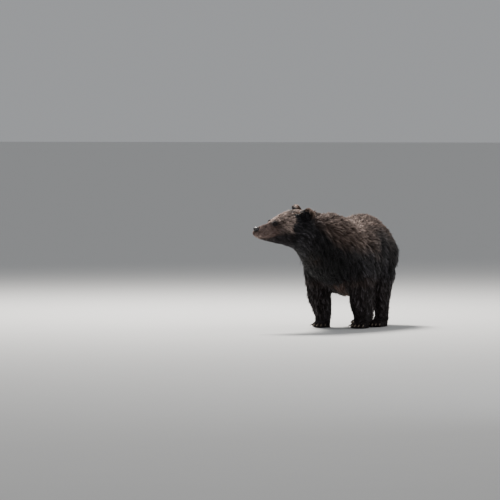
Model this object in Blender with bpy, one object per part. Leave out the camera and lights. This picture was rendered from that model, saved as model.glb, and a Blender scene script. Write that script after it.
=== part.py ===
"""A grizzly bear standing on all fours with its head turned to its right: a still model, life size.

Metres, +Z up. The bear faces -Y and its left side is at +X. The origin is on the floor, under the
middle of the whole model. The outline is that of the coat, out to the tips of its hairs.

The animal is modelled whole: lofts along the spine, neck, head and legs, with rounded masses for the
shoulders, cheeks and paws, are blended into one surface. Thin cuts then part it into the pieces that a
person would name, with a gap of GAP between neighbours, so that no two of them overlap.
"""

import math

import bmesh
import bpy
import numpy as np
from mathutils import Matrix, Vector

# Heights over the floor and lengths along the body, measured from under the top of the hump (Y = 0)
HUMP_HEIGHT = 0.902
RUMP_END = 0.885
CHEST_FRONT = -0.255
NOSE_TIP = Vector((-0.277, -0.679, 0.778))
HEAD_TURN = math.radians(-35)
HEAD_ROLL = math.radians(6)

# Feet: the place of each wrist or hock column over the floor
FORE_LEFT = (0.178, 0.168)
FORE_RIGHT = (-0.150, 0.145)
HIND_LEFT = (0.165, 0.500)
HIND_RIGHT = (-0.118, 0.782)

# Each leg: its foot, how far its middle stands out (fore) or back (hind), how full it is, which kind it
# is and how far its paw is turned in
LEGS = {
    "fore_left": (FORE_LEFT, -0.014, 1.12, True, math.radians(4)),
    "fore_right": (FORE_RIGHT, 0.034, 1.18, True, math.radians(8)),
    "hind_left": (HIND_LEFT, 0.045, 1.0, False, math.radians(10)),
    "hind_right": (HIND_RIGHT, -0.080, 1.0, False, math.radians(8)),
}

# Organs of the head, in the head's own frame: the nose tip is its origin, it faces -Y, its left is +X
NOSE_PAD = Vector((0, 0.003, 0.000))
NOSE_PAD_SIZE = Vector((0.027, 0.020, 0.020))
EAR = Vector((0.103, 0.386, 0.105))
EAR_SIZE = Vector((0.060, 0.049, 0.071))
EAR_LEAN = math.radians(20)
EAR_TURN = math.radians(36)
EAR_HOLLOW = 0.70
EYE = Vector((0.0500, 0.1330, 0.0475))
EYE_RADIUS = 0.0115
SOCKET_OUT = Vector((0.0110, -0.0060, 0.0010))
SOCKET_RADIUS = 0.0150

# Tail
TAIL = Vector((0, 0.866, 0.600))
TAIL_SIZE = Vector((0.028, 0.022, 0.058))
TAIL_LEAN = math.radians(10)

# Where the cuts between the pieces are
HEAD_BACK = 0.432
HEAD_CUT_LEAN = math.radians(-10)
MOUTH_HEIGHT = -0.036
MOUTH_LEAN = math.radians(-14)
MOUTH_CORNER = 0.128
NECK_CUT = (0, -0.150, 0.70)
NECK_CUT_LEAN = math.radians(-22)
TAIL_COVER = 0.014
LEG_COVER = 0.028
LEG_COVER_OUT = 0.020
WRIST_HEIGHT = 0.082
ELBOW_HEIGHT = 0.330
BETWEEN_LEGS = 0.280

# Making
GAP = 0.0003
VOXEL = 0.0085
RING_POINTS = 20
KEPT_TRIANGLES = 0.0258
LARGE_ROUNDS = 36
MIDDLE_ROUNDS = 12
SHARP_ANGLE = math.radians(50)
ROUGHNESS = 0.75
FAR = 2.0

COAT = {
    "trunk": (0.085, 0.055, 0.038),
    "neck": (0.075, 0.052, 0.040),
    "head": (0.150, 0.105, 0.075),
    "legs": (0.030, 0.024, 0.022),
    "ears": (0.060, 0.045, 0.035),
}
NOSE_BLACK = (0.012, 0.011, 0.012)
EYE_BROWN = (0.020, 0.011, 0.006)
CLAW_HORN = (0.420, 0.340, 0.240)


# ---------------------------------------------------------------- tools

def clear_scene():
    """Removes what the file holds, so that the script gives the same model each run."""
    for thing in list(bpy.data.objects):
        bpy.data.objects.remove(thing)


def material(name, colour, roughness, metallic=0.0):
    """A Principled material of one colour."""
    made = bpy.data.materials.new(name)
    made.use_nodes = True
    shader = made.node_tree.nodes["Principled BSDF"]
    shader.inputs["Base Color"].default_value = (*colour, 1.0)
    shader.inputs["Roughness"].default_value = roughness
    shader.inputs["Metallic"].default_value = metallic
    made.diffuse_color = (*colour, 1.0)
    return made


def link(name, mesh):
    """An object for mesh, in the scene, at the origin."""
    made = bpy.data.objects.new(name, mesh)
    bpy.context.scene.collection.objects.link(made)
    return made


def evaluated(thing):
    """A new mesh of what thing's modifiers make, and the object itself is removed."""
    bpy.context.view_layer.update()
    graph = bpy.context.evaluated_depsgraph_get()
    mesh = bpy.data.meshes.new_from_object(thing.evaluated_get(graph))
    bpy.data.objects.remove(thing)
    return mesh


def flow(knots, count):
    """Resamples rows of knots into count rows on a Catmull-Rom curve through them."""
    rows = np.array(knots, float)
    padded = np.vstack([2 * rows[0] - rows[1], rows, 2 * rows[-1] - rows[-2]])
    made = []
    for place in np.linspace(0, len(rows) - 1, count):
        first = min(int(place), len(rows) - 2)
        t = place - first
        a, b, c, d = padded[first:first + 4]
        made.append(0.5 * (2 * b + (c - a) * t + (2 * a - 5 * b + 4 * c - d) * t**2
                           + (3 * b - a - 3 * c + d) * t**3))
    return made


def loft(knots, count, side=(1, 0, 0), upright=False, grow=0.0, points=RING_POINTS):
    """A closed tube through rings. Each knot is x, y, z, half width, rise, drop and squareness.

    side is the direction of the half width. Rise is measured along side x path, drop against it.
    An upright loft keeps its rings' rise vertical, and the others stand square to the path.
    """
    rows = flow(knots, count)
    centres = [Vector(row[:3]) for row in rows]
    shape = bmesh.new()
    rings = []
    for index, row in enumerate(rows):
        path = (centres[min(index + 1, count - 1)] - centres[max(index - 1, 0)]).normalized()
        across = Vector(side)
        if not upright:
            across = (across - path * across.dot(path)).normalized()
        up = Vector((0, 0, 1)) if upright else across.cross(path)
        half_width, rise, drop, squareness = row[3:]
        ring = []
        for step in range(points):
            angle = 2 * math.pi * step / points
            cosine, sine = math.cos(angle), math.sin(angle)
            wide = math.copysign(abs(cosine) ** (2 / squareness), cosine)
            tall = math.copysign(abs(sine) ** (2 / squareness), sine)
            reach = (rise if sine > 0 else drop) + grow
            ring.append(shape.verts.new(centres[index] + across * (half_width + grow) * wide
                                        + up * reach * tall))
        edges = [shape.edges.new((ring[i], ring[i - 1])) for i in range(points)]
        rings.append((ring, edges))
    for (_, near), (_, far) in zip(rings, rings[1:]):
        bmesh.ops.bridge_loops(shape, edges=near + far)
    for ring, _ in (rings[0], rings[-1]):
        shape.faces.new(ring)
    bmesh.ops.recalc_face_normals(shape, faces=shape.faces)
    bmesh.ops.triangulate(shape, faces=shape.faces)
    return shape


def ball(centre, radii, turn=None, detail=3):
    """An ellipsoid, turned by the matrix turn before it is placed."""
    shape = bmesh.new()
    place = Matrix.Translation(centre) @ (turn or Matrix()) @ Matrix.Diagonal((*radii, 1))
    bmesh.ops.create_icosphere(shape, subdivisions=detail, radius=1, matrix=place)
    return shape


def block(low, high, place=None, grow=0.0):
    """A box from its low to its high corner, in the frame of the matrix place."""
    low = Vector(low) - Vector((grow,) * 3)
    high = Vector(high) + Vector((grow,) * 3)
    shape = bmesh.new()
    fit = Matrix.Translation((low + high) / 2) @ Matrix.Diagonal((*(high - low), 1))
    bmesh.ops.create_cube(shape, size=1, matrix=(place or Matrix()) @ fit)
    return shape


def moved(shape, place):
    """shape after the matrix place."""
    bmesh.ops.transform(shape, matrix=place, verts=shape.verts)
    return shape


def as_mesh(shape, name="piece"):
    """The mesh of a bmesh, which is freed."""
    mesh = bpy.data.meshes.new(name)
    shape.to_mesh(mesh)
    shape.free()
    return mesh


def joined(shapes):
    """One mesh of several bmeshes, which may run into each other."""
    whole = bmesh.new()
    for shape in shapes:
        mesh = as_mesh(shape)
        whole.from_mesh(mesh)
        bpy.data.meshes.remove(mesh)
    return as_mesh(whole)


def is_closed(mesh):
    """Whether mesh has faces and each of its edges joins two of them."""
    shape = bmesh.new()
    shape.from_mesh(mesh)
    closed = len(shape.faces) > 0 and all(edge.is_manifold for edge in shape.edges)
    shape.free()
    return closed


def boolean(mesh, cutter, operation):
    """The mesh left of mesh after the operation with the mesh cutter.

    The exact solver does it, and the manifold one where the exact one loses the body.
    """
    tool = link("tool", cutter)
    for solver in ("EXACT", "MANIFOLD"):
        thing = link("cut", mesh.copy())
        step = thing.modifiers.new("cut", "BOOLEAN")
        step.operation = operation
        step.solver = solver
        step.object = tool
        made = evaluated(thing)
        if is_closed(made):
            break
    bpy.data.objects.remove(tool)
    return made


def parted(mesh, cutter, wider_cutter):
    """What of mesh lies in cutter, and what lies outside wider_cutter, which is GAP larger."""
    return boolean(mesh, cutter, "INTERSECT"), boolean(mesh, wider_cutter, "DIFFERENCE")


def grown(mesh, distance=GAP):
    """A copy of mesh with each point moved out along its normal."""
    copy = mesh.copy()
    for point, normal in [(v, v.normal.copy()) for v in copy.vertices]:
        point.co += normal * distance
    return copy


# ---------------------------------------------------------------- the forms

def head_place():
    """From the head's own frame, with the nose tip at its origin and facing -Y, to the model's."""
    turn = Matrix.Rotation(HEAD_TURN, 4, "Z") @ Matrix.Rotation(HEAD_ROLL, 4, "Y")
    return Matrix.Translation(NOSE_TIP) @ turn


def trunk_forms():
    """Chest, hump, belly, loin and rump as one upright loft, with the shoulder blades over it."""
    squareness = 2.05
    knots = (
        # y, back line, belly line, height of the widest line, half width
        (CHEST_FRONT, 0.680, 0.520, 0.60, 0.080),
        (-0.205, 0.830, 0.440, 0.61, 0.165),
        (-0.110, 0.888, 0.385, 0.60, 0.212),
        (0.000, HUMP_HEIGHT, 0.340, 0.59, 0.236),
        (0.110, 0.864, 0.290, 0.57, 0.246),
        (0.230, 0.838, 0.244, 0.55, 0.258),
        (0.350, 0.858, 0.228, 0.54, 0.262),
        (0.470, 0.886, 0.240, 0.55, 0.250),
        (0.590, 0.868, 0.285, 0.56, 0.232),
        (0.700, 0.800, 0.340, 0.55, 0.212),
        (0.800, 0.715, 0.390, 0.54, 0.176),
        (RUMP_END, 0.620, 0.465, 0.54, 0.095),
    )
    rings = [(0, y, middle, width, back - middle, middle - belly, squareness)
             for y, back, belly, middle, width in knots]
    forms = [loft(rings, 34, upright=True)]
    for side in (-1, 1):
        forms.append(ball((side * 0.112, 0.030, 0.650), (0.108, 0.190, 0.200)))
        forms.append(ball((side * 0.103, 0.560, 0.560), (0.115, 0.175, 0.225)))
    return forms


def neck_forms():
    """The neck and its ruff, from inside the chest to inside the back of the head."""
    rings = (
        (0.000, 0.060, 0.630, 0.215, 0.255, 0.270, 2.1),
        (-0.004, -0.090, 0.660, 0.208, 0.232, 0.255, 2.1),
        (-0.018, -0.190, 0.700, 0.188, 0.200, 0.215, 2.1),
        (-0.040, -0.280, 0.740, 0.168, 0.180, 0.180, 2.1),
        (-0.075, -0.365, 0.765, 0.148, 0.160, 0.155, 2.1),
    )
    return [loft(rings, 14, side=(-1, 0, 0))]


def head_forms():
    """Muzzle, skull, brows, cheeks and jaw, in the head's own frame."""
    muzzle = (
        (0, -0.004, -0.003, 0.026, 0.021, 0.028, 2.6),
        (0, 0.010, -0.016, 0.038, 0.036, 0.048, 2.8),
        (0, 0.046, -0.020, 0.044, 0.048, 0.063, 2.8),
        (0, 0.090, -0.020, 0.049, 0.062, 0.074, 2.6),
        (0, 0.138, -0.020, 0.056, 0.078, 0.086, 2.4),
        (0, 0.196, -0.020, 0.064, 0.090, 0.090, 2.2),
    )
    skull = (
        (0, 0.096, -0.014, 0.040, 0.044, 0.076, 2.2),
        (0, 0.131, -0.010, 0.064, 0.078, 0.096, 2.3),
        (0, 0.171, -0.008, 0.084, 0.104, 0.108, 2.3),
        (0, 0.221, -0.006, 0.101, 0.128, 0.118, 2.3),
        (0, 0.281, -0.004, 0.116, 0.148, 0.138, 2.2),
        (0, 0.346, -0.006, 0.130, 0.157, 0.160, 2.1),
        (0, 0.416, -0.010, 0.142, 0.150, 0.178, 2.1),
    )
    forms = [loft(muzzle, 16), loft(skull, 20)]
    for side in (-1, 1):
        forms.append(ball((side * 0.042, 0.166, 0.041), (0.034, 0.050, 0.033)))
        forms.append(ball((side * 0.076, 0.300, -0.045), (0.058, 0.095, 0.085)))
        forms.append(ball((side * 0.026, 0.044, -0.036), (0.022, 0.040, 0.026)))
    forms.append(ball((0, 0.036, -0.050), (0.030, 0.029, 0.025)))
    place = head_place()
    return [moved(form, place) for form in forms]


def leg_form(foot, shift, full, is_fore, grow=0.0, count=24, points=RING_POINTS):
    """One leg from inside the body to the floor, over the column at foot.

    shift moves the middle of a fore leg out to its side, and the top of a hind leg back.
    """
    x, y = foot
    side = math.copysign(1, x)
    if is_fore:
        rings = (
            (side * 0.125, y - 0.190, 0.640, 0.085, 0.120, 0.100, 2.0),
            (side * 0.150, y - 0.100, 0.520, 0.090 * full, 0.125, 0.110, 2.0),
            (x + side * (0.016 + shift), y - 0.010, 0.410, 0.088 * full, 0.115, 0.110, 2.1),
            (x + side * (0.006 + shift), y + 0.004, 0.300, 0.082 * full, 0.092, 0.092, 2.2),
            (x + side * shift * 0.6, y, 0.200, 0.072 * full, 0.084, 0.090, 2.2),
            (x, y, 0.110, 0.060, 0.078, 0.078, 2.2),
            (x, y, 0.045, 0.056, 0.062, 0.066, 2.2),
            (x, y, -0.020, 0.054, 0.058, 0.064, 2.2),
        )
    else:
        rings = (
            (side * 0.125, y + 0.060 + shift, 0.620, 0.105, 0.175, 0.165, 2.0),
            (side * 0.150, y + 0.005 + shift, 0.500, 0.102, 0.175, 0.155, 2.0),
            (side * 0.165, y - 0.030 + shift * 0.6, 0.400, 0.092, 0.165, 0.125, 2.1),
            (x, y - 0.015 + shift * 0.3, 0.300, 0.078, 0.126, 0.100, 2.2),
            (x, y + 0.005, 0.200, 0.064, 0.090, 0.078, 2.2),
            (x, y + 0.015, 0.120, 0.056, 0.073, 0.062, 2.2),
            (x, y + 0.010, 0.050, 0.052, 0.060, 0.060, 2.2),
            (x, y + 0.010, -0.020, 0.050, 0.056, 0.058, 2.2),
        )
    return loft(rings, count, grow=grow, points=points)


class Paw:
    """One paw: its size, its toes and the claws that stand in them."""

    TOES = 5
    TOE_REACH = (0.000, 0.012, 0.017, 0.013, 0.001)

    def __init__(self, foot, is_fore, turn):
        self.x, self.y = foot
        self.is_fore = is_fore
        self.width = 0.118 if is_fore else 0.114
        self.toe_line = 0.062 if is_fore else 0.150
        self.heel_line = 0.055 if is_fore else 0.072
        self.claw_length = 0.052 if is_fore else 0.034
        self.place = Matrix.Translation((self.x, self.y, 0)) @ Matrix.Rotation(turn, 4, "Z")

    def toe(self, index):
        """The middle of a toe's end, in the paw's own frame, and how far it splays out."""
        across = (index - (self.TOES - 1) / 2) / (self.TOES - 1)
        reach = self.toe_line + self.TOE_REACH[index]
        return Vector((across * self.width * 0.82, -reach, 0.023)), across

    def forms(self):
        """The sole, the back of the paw and the toes."""
        length = self.toe_line + self.heel_line
        middle = (self.heel_line - self.toe_line) / 2
        made = [
            ball((0, middle, 0.012), (self.width * 0.50, length * 0.56, 0.034)),
            ball((0, middle - 0.010, 0.034), (self.width * 0.42, length * 0.50, 0.040)),
        ]
        for index in range(self.TOES):
            centre, across = self.toe(index)
            made.append(ball(centre, (0.0155, 0.034, 0.024), Matrix.Rotation(across * 0.5, 4, "Z")))
        return [moved(form, self.place) for form in made]

    def claw(self, index):
        """A claw: a loft that bends down and tapers to a blunt point just over the floor."""
        root, across = self.toe(index)
        length = self.claw_length * (1 - 0.5 * across * across)
        rings = []
        for step in range(6):
            t = step / 5
            forward = -0.014 - length * math.sin(t * 1.25) / math.sin(1.25)
            height = 0.006 - (root.z - 0.009) * t**1.8
            size = 0.0062 * (1 - 0.80 * t**1.5)
            rings.append((0, forward, height, size * 0.72, size, size, 2.0))
        turn = Matrix.Translation(root) @ Matrix.Rotation(across * 0.5, 4, "Z")
        return moved(loft(rings, 4, side=(-1, 0, 0), points=6), self.place @ turn)


def ear_mesh(side):
    """An ear in the head's own frame: a thick round cup whose hollow faces forward and out."""
    turn = (Matrix.Rotation(EAR_LEAN * side, 4, "Y") @ Matrix.Rotation(EAR_TURN * side, 4, "Z"))
    centre = Vector((side * EAR.x, EAR.y, EAR.z))
    cup = as_mesh(ball(centre, EAR_SIZE, turn, detail=2))
    hollow_centre = centre + turn @ Vector((0, -EAR_SIZE.y * 1.05, EAR_SIZE.z * 0.16))
    hollow = as_mesh(ball(hollow_centre, EAR_SIZE * EAR_HOLLOW, turn, detail=2))
    made = boolean(cup, hollow, "DIFFERENCE")
    made.transform(head_place())
    return made


# ---------------------------------------------------------------- the whole and its parts

def whole_body(paws):
    """All forms blended into one surface, with flat soles on the floor."""
    shapes = trunk_forms() + neck_forms() + head_forms()
    shapes.append(ball(TAIL, TAIL_SIZE, Matrix.Rotation(TAIL_LEAN, 4, "X")))
    for foot, shift, full, is_fore, _ in LEGS.values():
        shapes.append(leg_form(foot, shift, full, is_fore))
    for paw in paws.values():
        shapes += paw.forms()
    body = link("body", joined(shapes))
    remesh = body.modifiers.new("blend", "REMESH")
    remesh.mode = "VOXEL"
    remesh.voxel_size = VOXEL
    body = link("body", evaluated(body))
    soften(body, "large", behind_face_over_feet, LARGE_ROUNDS)
    soften(body, "middle", less_on_feet, MIDDLE_ROUNDS)
    thin = body.modifiers.new("thin", "DECIMATE")
    thin.ratio = KEPT_TRIANGLES
    thin.use_collapse_triangulate = True
    mesh = evaluated(body)
    over_floor = as_mesh(block((-FAR, -FAR, 0), (FAR, FAR, FAR)))
    return boolean(mesh, over_floor, "INTERSECT")


def ramp(value, start, width):
    """0 up to start, 1 from start + width on, and straight between."""
    return min(max((value - start) / width, 0.0), 1.0)


def behind_face_over_feet(point):
    """1 on the trunk, neck and legs, falling to 0 on the face and the feet."""
    return ramp(point.y, NOSE_TIP.y + 0.26, 0.12) * ramp(point.z, 0.06, 0.10)


def less_on_feet(point):
    """1 over the feet, falling to a quarter on the floor."""
    return 0.25 + 0.75 * ramp(point.z, 0.04, 0.06)


def soften(body, name, weight, rounds):
    """Adds a Smooth modifier whose strength at each point is weight of its place."""
    group = body.vertex_groups.new(name=name)
    for point in body.data.vertices:
        group.add([point.index], weight(point.co), "REPLACE")
    step = body.modifiers.new(name, "SMOOTH")
    step.factor = 0.5
    step.iterations = rounds
    step.vertex_group = name


def largest(mesh):
    """mesh with only its largest connected body: a cut can leave crumbs beside it."""
    shape = bmesh.new()
    shape.from_mesh(mesh)
    bodies = []
    left = set(shape.verts)
    while left:
        found = {left.pop()}
        edge = list(found)
        while edge:
            near = {e.other_vert(v) for v in edge for e in v.link_edges}
            edge = list(near & left)
            left -= near
            found.update(edge)
        bodies.append(found)
    bodies.sort(key=len)
    crumbs = [v for group in bodies[:-1] for v in group]
    bmesh.ops.delete(shape, geom=crumbs, context="VERTS")
    return as_mesh(shape, mesh.name)


def part_head(body):
    """Head, lower jaw, nose, eyes and ears, and the body without them."""
    place = head_place()
    in_front = (-0.30, -0.30, -0.26), (0.30, HEAD_BACK, 0.40)
    lean = place @ Matrix.Rotation(HEAD_CUT_LEAN, 4, "X")
    head, body = parted(body, as_mesh(block(*in_front, lean)), as_mesh(block(*in_front, lean, GAP)))
    mouth = place @ Matrix.Translation((0, 0, MOUTH_HEIGHT)) @ Matrix.Rotation(MOUTH_LEAN, 4, "X")
    under = (-0.20, -0.10, -0.20), (0.20, MOUTH_CORNER, 0)
    jaw, head = parted(head, as_mesh(block(*under, mouth)), as_mesh(block(*under, mouth, GAP)))
    pads = [ball(NOSE_PAD, NOSE_PAD_SIZE + Vector((more,) * 3), detail=2) for more in (0, 2 * GAP)]
    nose, head = parted(head, *(as_mesh(moved(pad, place)) for pad in pads))
    pieces = {"lower_jaw": (jaw, "head"), "nose_pad": (nose, "nose")}
    for name, side in (("left", 1), ("right", -1)):
        eye = as_mesh(moved(ball((side * EYE.x, EYE.y, EYE.z), (EYE_RADIUS,) * 3, detail=2), place))
        socket = EYE + SOCKET_OUT
        socket = ball((side * socket.x, socket.y, socket.z), (SOCKET_RADIUS,) * 3, detail=2)
        head = boolean(head, as_mesh(moved(socket, place)), "DIFFERENCE")
        ear = ear_mesh(side)
        for organ in (eye, ear):
            head = boolean(head, grown(organ), "DIFFERENCE")
        body = boolean(body, grown(ear), "DIFFERENCE")
        pieces["eye_" + name] = (eye, "eye")
        pieces["ear_" + name] = (ear, "ears")
    pieces["head"] = (head, "head")
    return pieces, body


def part_neck_and_tail(body):
    """Neck and tail, and the body without them."""
    place = Matrix.Translation(NECK_CUT) @ Matrix.Rotation(NECK_CUT_LEAN, 4, "X")
    before = (-0.5, -0.6, -0.5), (0.5, 0, 0.5)
    neck, body = parted(body, as_mesh(block(*before, place)), as_mesh(block(*before, place, GAP)))
    covers = [TAIL_SIZE + Vector((TAIL_COVER + more,) * 3) for more in (0, 2 * GAP)]
    tail, body = parted(body, *(as_mesh(ball(TAIL, cover, detail=2)) for cover in covers))
    return {"neck": (neck, "neck"), "tail": (tail, "trunk")}, body


def leg_cover(name):
    """The space that one leg is cut out with: the leg's own loft, wider, and more so on its outer side."""
    foot, shift, full, is_fore, _ = LEGS[name]
    outward = Matrix.Translation((math.copysign(LEG_COVER_OUT, foot[0]), 0, 0))
    return as_mesh(moved(leg_form(foot, shift, full, is_fore, LEG_COVER, 7, 10), outward))


def part_leg(name, body):
    """Paw, lower and upper leg of one leg, and the body without them."""
    is_fore = LEGS[name][3]
    upper, lower, end = ("upper_arm", "forearm", "fore_paw") if is_fore else ("thigh", "shank", "hind_paw")
    side = name.split("_")[1]
    across = (0, FAR) if side == "left" else (-FAR, 0)
    along = (-FAR, BETWEEN_LEGS) if is_fore else (BETWEEN_LEGS, FAR)
    low = (across[0], along[0], -FAR)
    foot_top = (across[1], along[1], WRIST_HEIGHT)
    paw, body = parted(body, as_mesh(block(low, foot_top)), as_mesh(block(low, foot_top, None, GAP)))
    leg, body = parted(body, leg_cover(name), grown(leg_cover(name), 3 * GAP))
    low = (-FAR, -FAR, -FAR)
    shin_top = (FAR, FAR, ELBOW_HEIGHT)
    shin, leg = parted(leg, as_mesh(block(low, shin_top)), as_mesh(block(low, shin_top, None, GAP)))
    pieces = {f"{upper}_{side}": (leg, "legs"), f"{lower}_{side}": (shin, "legs"),
              f"{end}_{side}": (paw, "legs")}
    return pieces, body


def part_claws(paws, pieces):
    """The claws of all paws, each cut off where its toe begins."""
    claws = {}
    for name, paw in paws.items():
        sole = ("fore_paw_" if paw.is_fore else "hind_paw_") + name.split("_")[1]
        for index in range(Paw.TOES):
            claw = boolean(as_mesh(paw.claw(index)), grown(pieces[sole][0]), "DIFFERENCE")
            claws[f"claw_{name}_{index + 1}"] = (claw, "claws")
    return claws


def finishes():
    """The materials by their keys."""
    made = {name: material(name, colour, ROUGHNESS) for name, colour in COAT.items()}
    made["nose"] = material("nose", NOSE_BLACK, 0.35)
    made["eye"] = material("eye", EYE_BROWN, 0.10)
    made["claws"] = material("claws", CLAW_HORN, 0.45)
    return made


def place_pieces(pieces):
    """Links each piece under its name, with its material and the whole's middle over the origin."""
    materials = finishes()
    corners = np.array([v.co for mesh, _ in pieces.values() for v in mesh.vertices])
    middle = (corners.min(axis=0) + corners.max(axis=0)) / 2
    to_origin = Matrix.Translation((-middle[0], -middle[1], 0))
    for name, (mesh, finish) in pieces.items():
        mesh.transform(to_origin)
        mesh.materials.clear()
        mesh.materials.append(materials[finish])
        mesh.shade_smooth()
        mesh.set_sharp_from_angle(angle=SHARP_ANGLE)
        link(name, mesh)


def main():
    """Makes the whole animal and parts it into its pieces."""
    clear_scene()
    paws = {name: Paw(foot, is_fore, turn) for name, (foot, _, _, is_fore, turn) in LEGS.items()}
    body = whole_body(paws)
    pieces, body = part_head(body)
    more, body = part_neck_and_tail(body)
    pieces.update(more)
    for name in LEGS:
        more, body = part_leg(name, body)
        pieces.update(more)
    pieces["trunk"] = (body, "trunk")
    pieces.update(part_claws(paws, pieces))
    place_pieces({name: (largest(mesh), finish) for name, (mesh, finish) in pieces.items()})


main()
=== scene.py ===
"""The visual model of a standing grizzly bear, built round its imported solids.

Metres, +Z up. The bear's trunk faces -Y, its left side is at +X, and its head is turned to its right.
One skin stands in for all nodes of flesh, inside them by the depth of the coat. The coat is a set of
joined meshes of pointed tufts that grow from the skin and follow the lie of the fur, gathered in locks.
Eyes, nose and claws are pieces of their own.
"""
from __future__ import annotations

import logging
import math
from collections.abc import Callable, Sequence
from dataclasses import dataclass, field
from enum import Enum

import bmesh
import bpy
import numpy as np
from mathutils import Matrix, Vector, kdtree
from mathutils.bvhtree import BVHTree

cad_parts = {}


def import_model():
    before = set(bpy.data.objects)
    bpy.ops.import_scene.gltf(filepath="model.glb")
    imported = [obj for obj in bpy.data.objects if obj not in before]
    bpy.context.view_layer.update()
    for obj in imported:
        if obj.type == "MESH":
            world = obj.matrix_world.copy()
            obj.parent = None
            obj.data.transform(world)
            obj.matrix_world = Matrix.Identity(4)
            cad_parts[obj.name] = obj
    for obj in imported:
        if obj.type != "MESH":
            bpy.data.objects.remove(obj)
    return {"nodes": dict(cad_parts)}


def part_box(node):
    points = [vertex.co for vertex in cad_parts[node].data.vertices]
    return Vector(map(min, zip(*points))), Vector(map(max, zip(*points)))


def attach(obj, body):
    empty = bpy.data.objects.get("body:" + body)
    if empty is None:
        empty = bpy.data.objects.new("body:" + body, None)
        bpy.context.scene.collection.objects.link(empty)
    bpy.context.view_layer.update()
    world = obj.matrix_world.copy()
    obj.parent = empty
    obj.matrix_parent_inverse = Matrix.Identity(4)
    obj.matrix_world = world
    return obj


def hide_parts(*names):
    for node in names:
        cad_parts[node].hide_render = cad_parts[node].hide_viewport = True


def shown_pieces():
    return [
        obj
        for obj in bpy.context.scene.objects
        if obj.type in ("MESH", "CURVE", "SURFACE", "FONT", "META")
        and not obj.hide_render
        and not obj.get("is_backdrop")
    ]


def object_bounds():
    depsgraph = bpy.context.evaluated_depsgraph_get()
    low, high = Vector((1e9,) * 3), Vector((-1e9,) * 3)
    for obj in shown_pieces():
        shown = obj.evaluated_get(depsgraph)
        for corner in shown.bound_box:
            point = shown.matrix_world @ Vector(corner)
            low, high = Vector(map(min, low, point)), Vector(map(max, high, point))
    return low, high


Array = np.ndarray
Colour = tuple[float, float, float]
LOG = logging.getLogger("grizzly")
SEED = 7
MERGE = 1e-5
BODY = "root"
UP = np.array((0.0, 0.0, 1.0))
UNWRAP = "OFBake"
MARKS = "marks"
STRAND = "strand"
BARE = "bare"
IRIS = "iris"
SIDES = {"left": 1.0, "right": -1.0}


# ---------------------------------------------------------------- array tools

def unit(rows: Array) -> Array:
    """Returns rows with each row's length made 1."""
    return rows / np.maximum(np.linalg.norm(rows, axis=-1, keepdims=True), 1e-9)


def ramp(value: Array, start: float, end: float) -> Array:
    """A smooth step.

    Args:
        value: What is measured.
        start: Where the step is 0.
        end: Where the step is 1, which may be below start.

    Returns:
        0 before start, 1 after end, and smooth between them.
    """
    share = np.clip((value - start) / (end - start), 0.0, 1.0)
    return share * share * (3.0 - 2.0 * share)


def fade(value: Array, start: float, end: float) -> Array:
    """A smooth step down: 1 before start and 0 after end."""
    return 1 - ramp(value, start, end)


def bell(value: Array, peak: Array | float, spread: float) -> Array:
    """A smooth bump that is 1 at its peak."""
    return np.exp(-((value - peak) / spread) ** 2)


def mirrored(place: Array, sign: float) -> Array:
    """A place or direction of the left side for a sign of 1, or its mirror image for -1."""
    return place * (sign, 1.0, 1.0)


def blend(low: Array | float, high: Array | float, share: Array) -> Array:
    """Mixes two values or rows by share, which is 0 for low and 1 for high."""
    return low + (high - low) * share


def rows_blend(low: Array, high: Array, share: Array) -> Array:
    """Mixes two sets of rows by one share for each row."""
    return low + (high - low) * share[:, None]


def ripple(points: Array, size: float, seed: int, waves: int = 7) -> Array:
    """A smooth random field.

    Args:
        points: Places in metres.
        size: The rough distance from one swell to the next.
        seed: Which field.
        waves: How many plane waves it sums.

    Returns:
        A value of about -1 to 1 for each point.
    """
    draw = np.random.default_rng(seed)
    total = np.zeros(len(points))
    for _ in range(waves):
        heading = unit(draw.normal(size=3)) * (2 * math.pi / size) * draw.uniform(0.6, 1.5)
        total += np.sin(points @ heading + draw.uniform(0, 2 * math.pi))
    return total / math.sqrt(waves)


def read_rows(items: Sequence, name: str, width: int, kind: type = float) -> Array:
    """The value called name of each of a mesh's items, as a row of width numbers."""
    flat = np.empty(len(items) * width, dtype=kind)
    items.foreach_get(name, flat)
    return flat.reshape(-1, width)


def mesh_points(mesh: bpy.types.Mesh) -> Array:
    """The places of a mesh's vertices, one row each."""
    return read_rows(mesh.vertices, "co", 3)


def mesh_normals(mesh: bpy.types.Mesh) -> Array:
    """The normals of a mesh's vertices, one row each."""
    return read_rows(mesh.vertex_normals, "vector", 3)


def place_points(mesh: bpy.types.Mesh, points: Array) -> None:
    """Moves a mesh's vertices to the rows of points."""
    mesh.vertices.foreach_set("co", points.ravel())
    mesh.update()


def set_rows(mesh: bpy.types.Mesh, name: str, rows: Array) -> None:
    """Stores four numbers for each vertex of mesh as the colour attribute name."""
    layer = mesh.attributes.new(name, "FLOAT_COLOR", "POINT")
    layer.data.foreach_set("color", np.ascontiguousarray(rows, dtype=np.float32).ravel())


def linked(name: str, mesh: bpy.types.Mesh) -> bpy.types.Object:
    """A new object for mesh, in the scene, at the origin."""
    thing = bpy.data.objects.new(name, mesh)
    bpy.context.scene.collection.objects.link(thing)
    return thing


def mesh_of(shape: bmesh.types.BMesh, name: str) -> bpy.types.Mesh:
    """A new mesh of a bmesh, which is freed."""
    mesh = bpy.data.meshes.new(name)
    shape.to_mesh(mesh)
    shape.free()
    return mesh


def evaluated(thing: bpy.types.Object) -> bpy.types.Mesh:
    """The mesh that thing's modifiers make. The object is removed."""
    bpy.context.view_layer.update()
    graph = bpy.context.evaluated_depsgraph_get()
    mesh = bpy.data.meshes.new_from_object(thing.evaluated_get(graph))
    bpy.data.objects.remove(thing)
    return mesh


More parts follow.
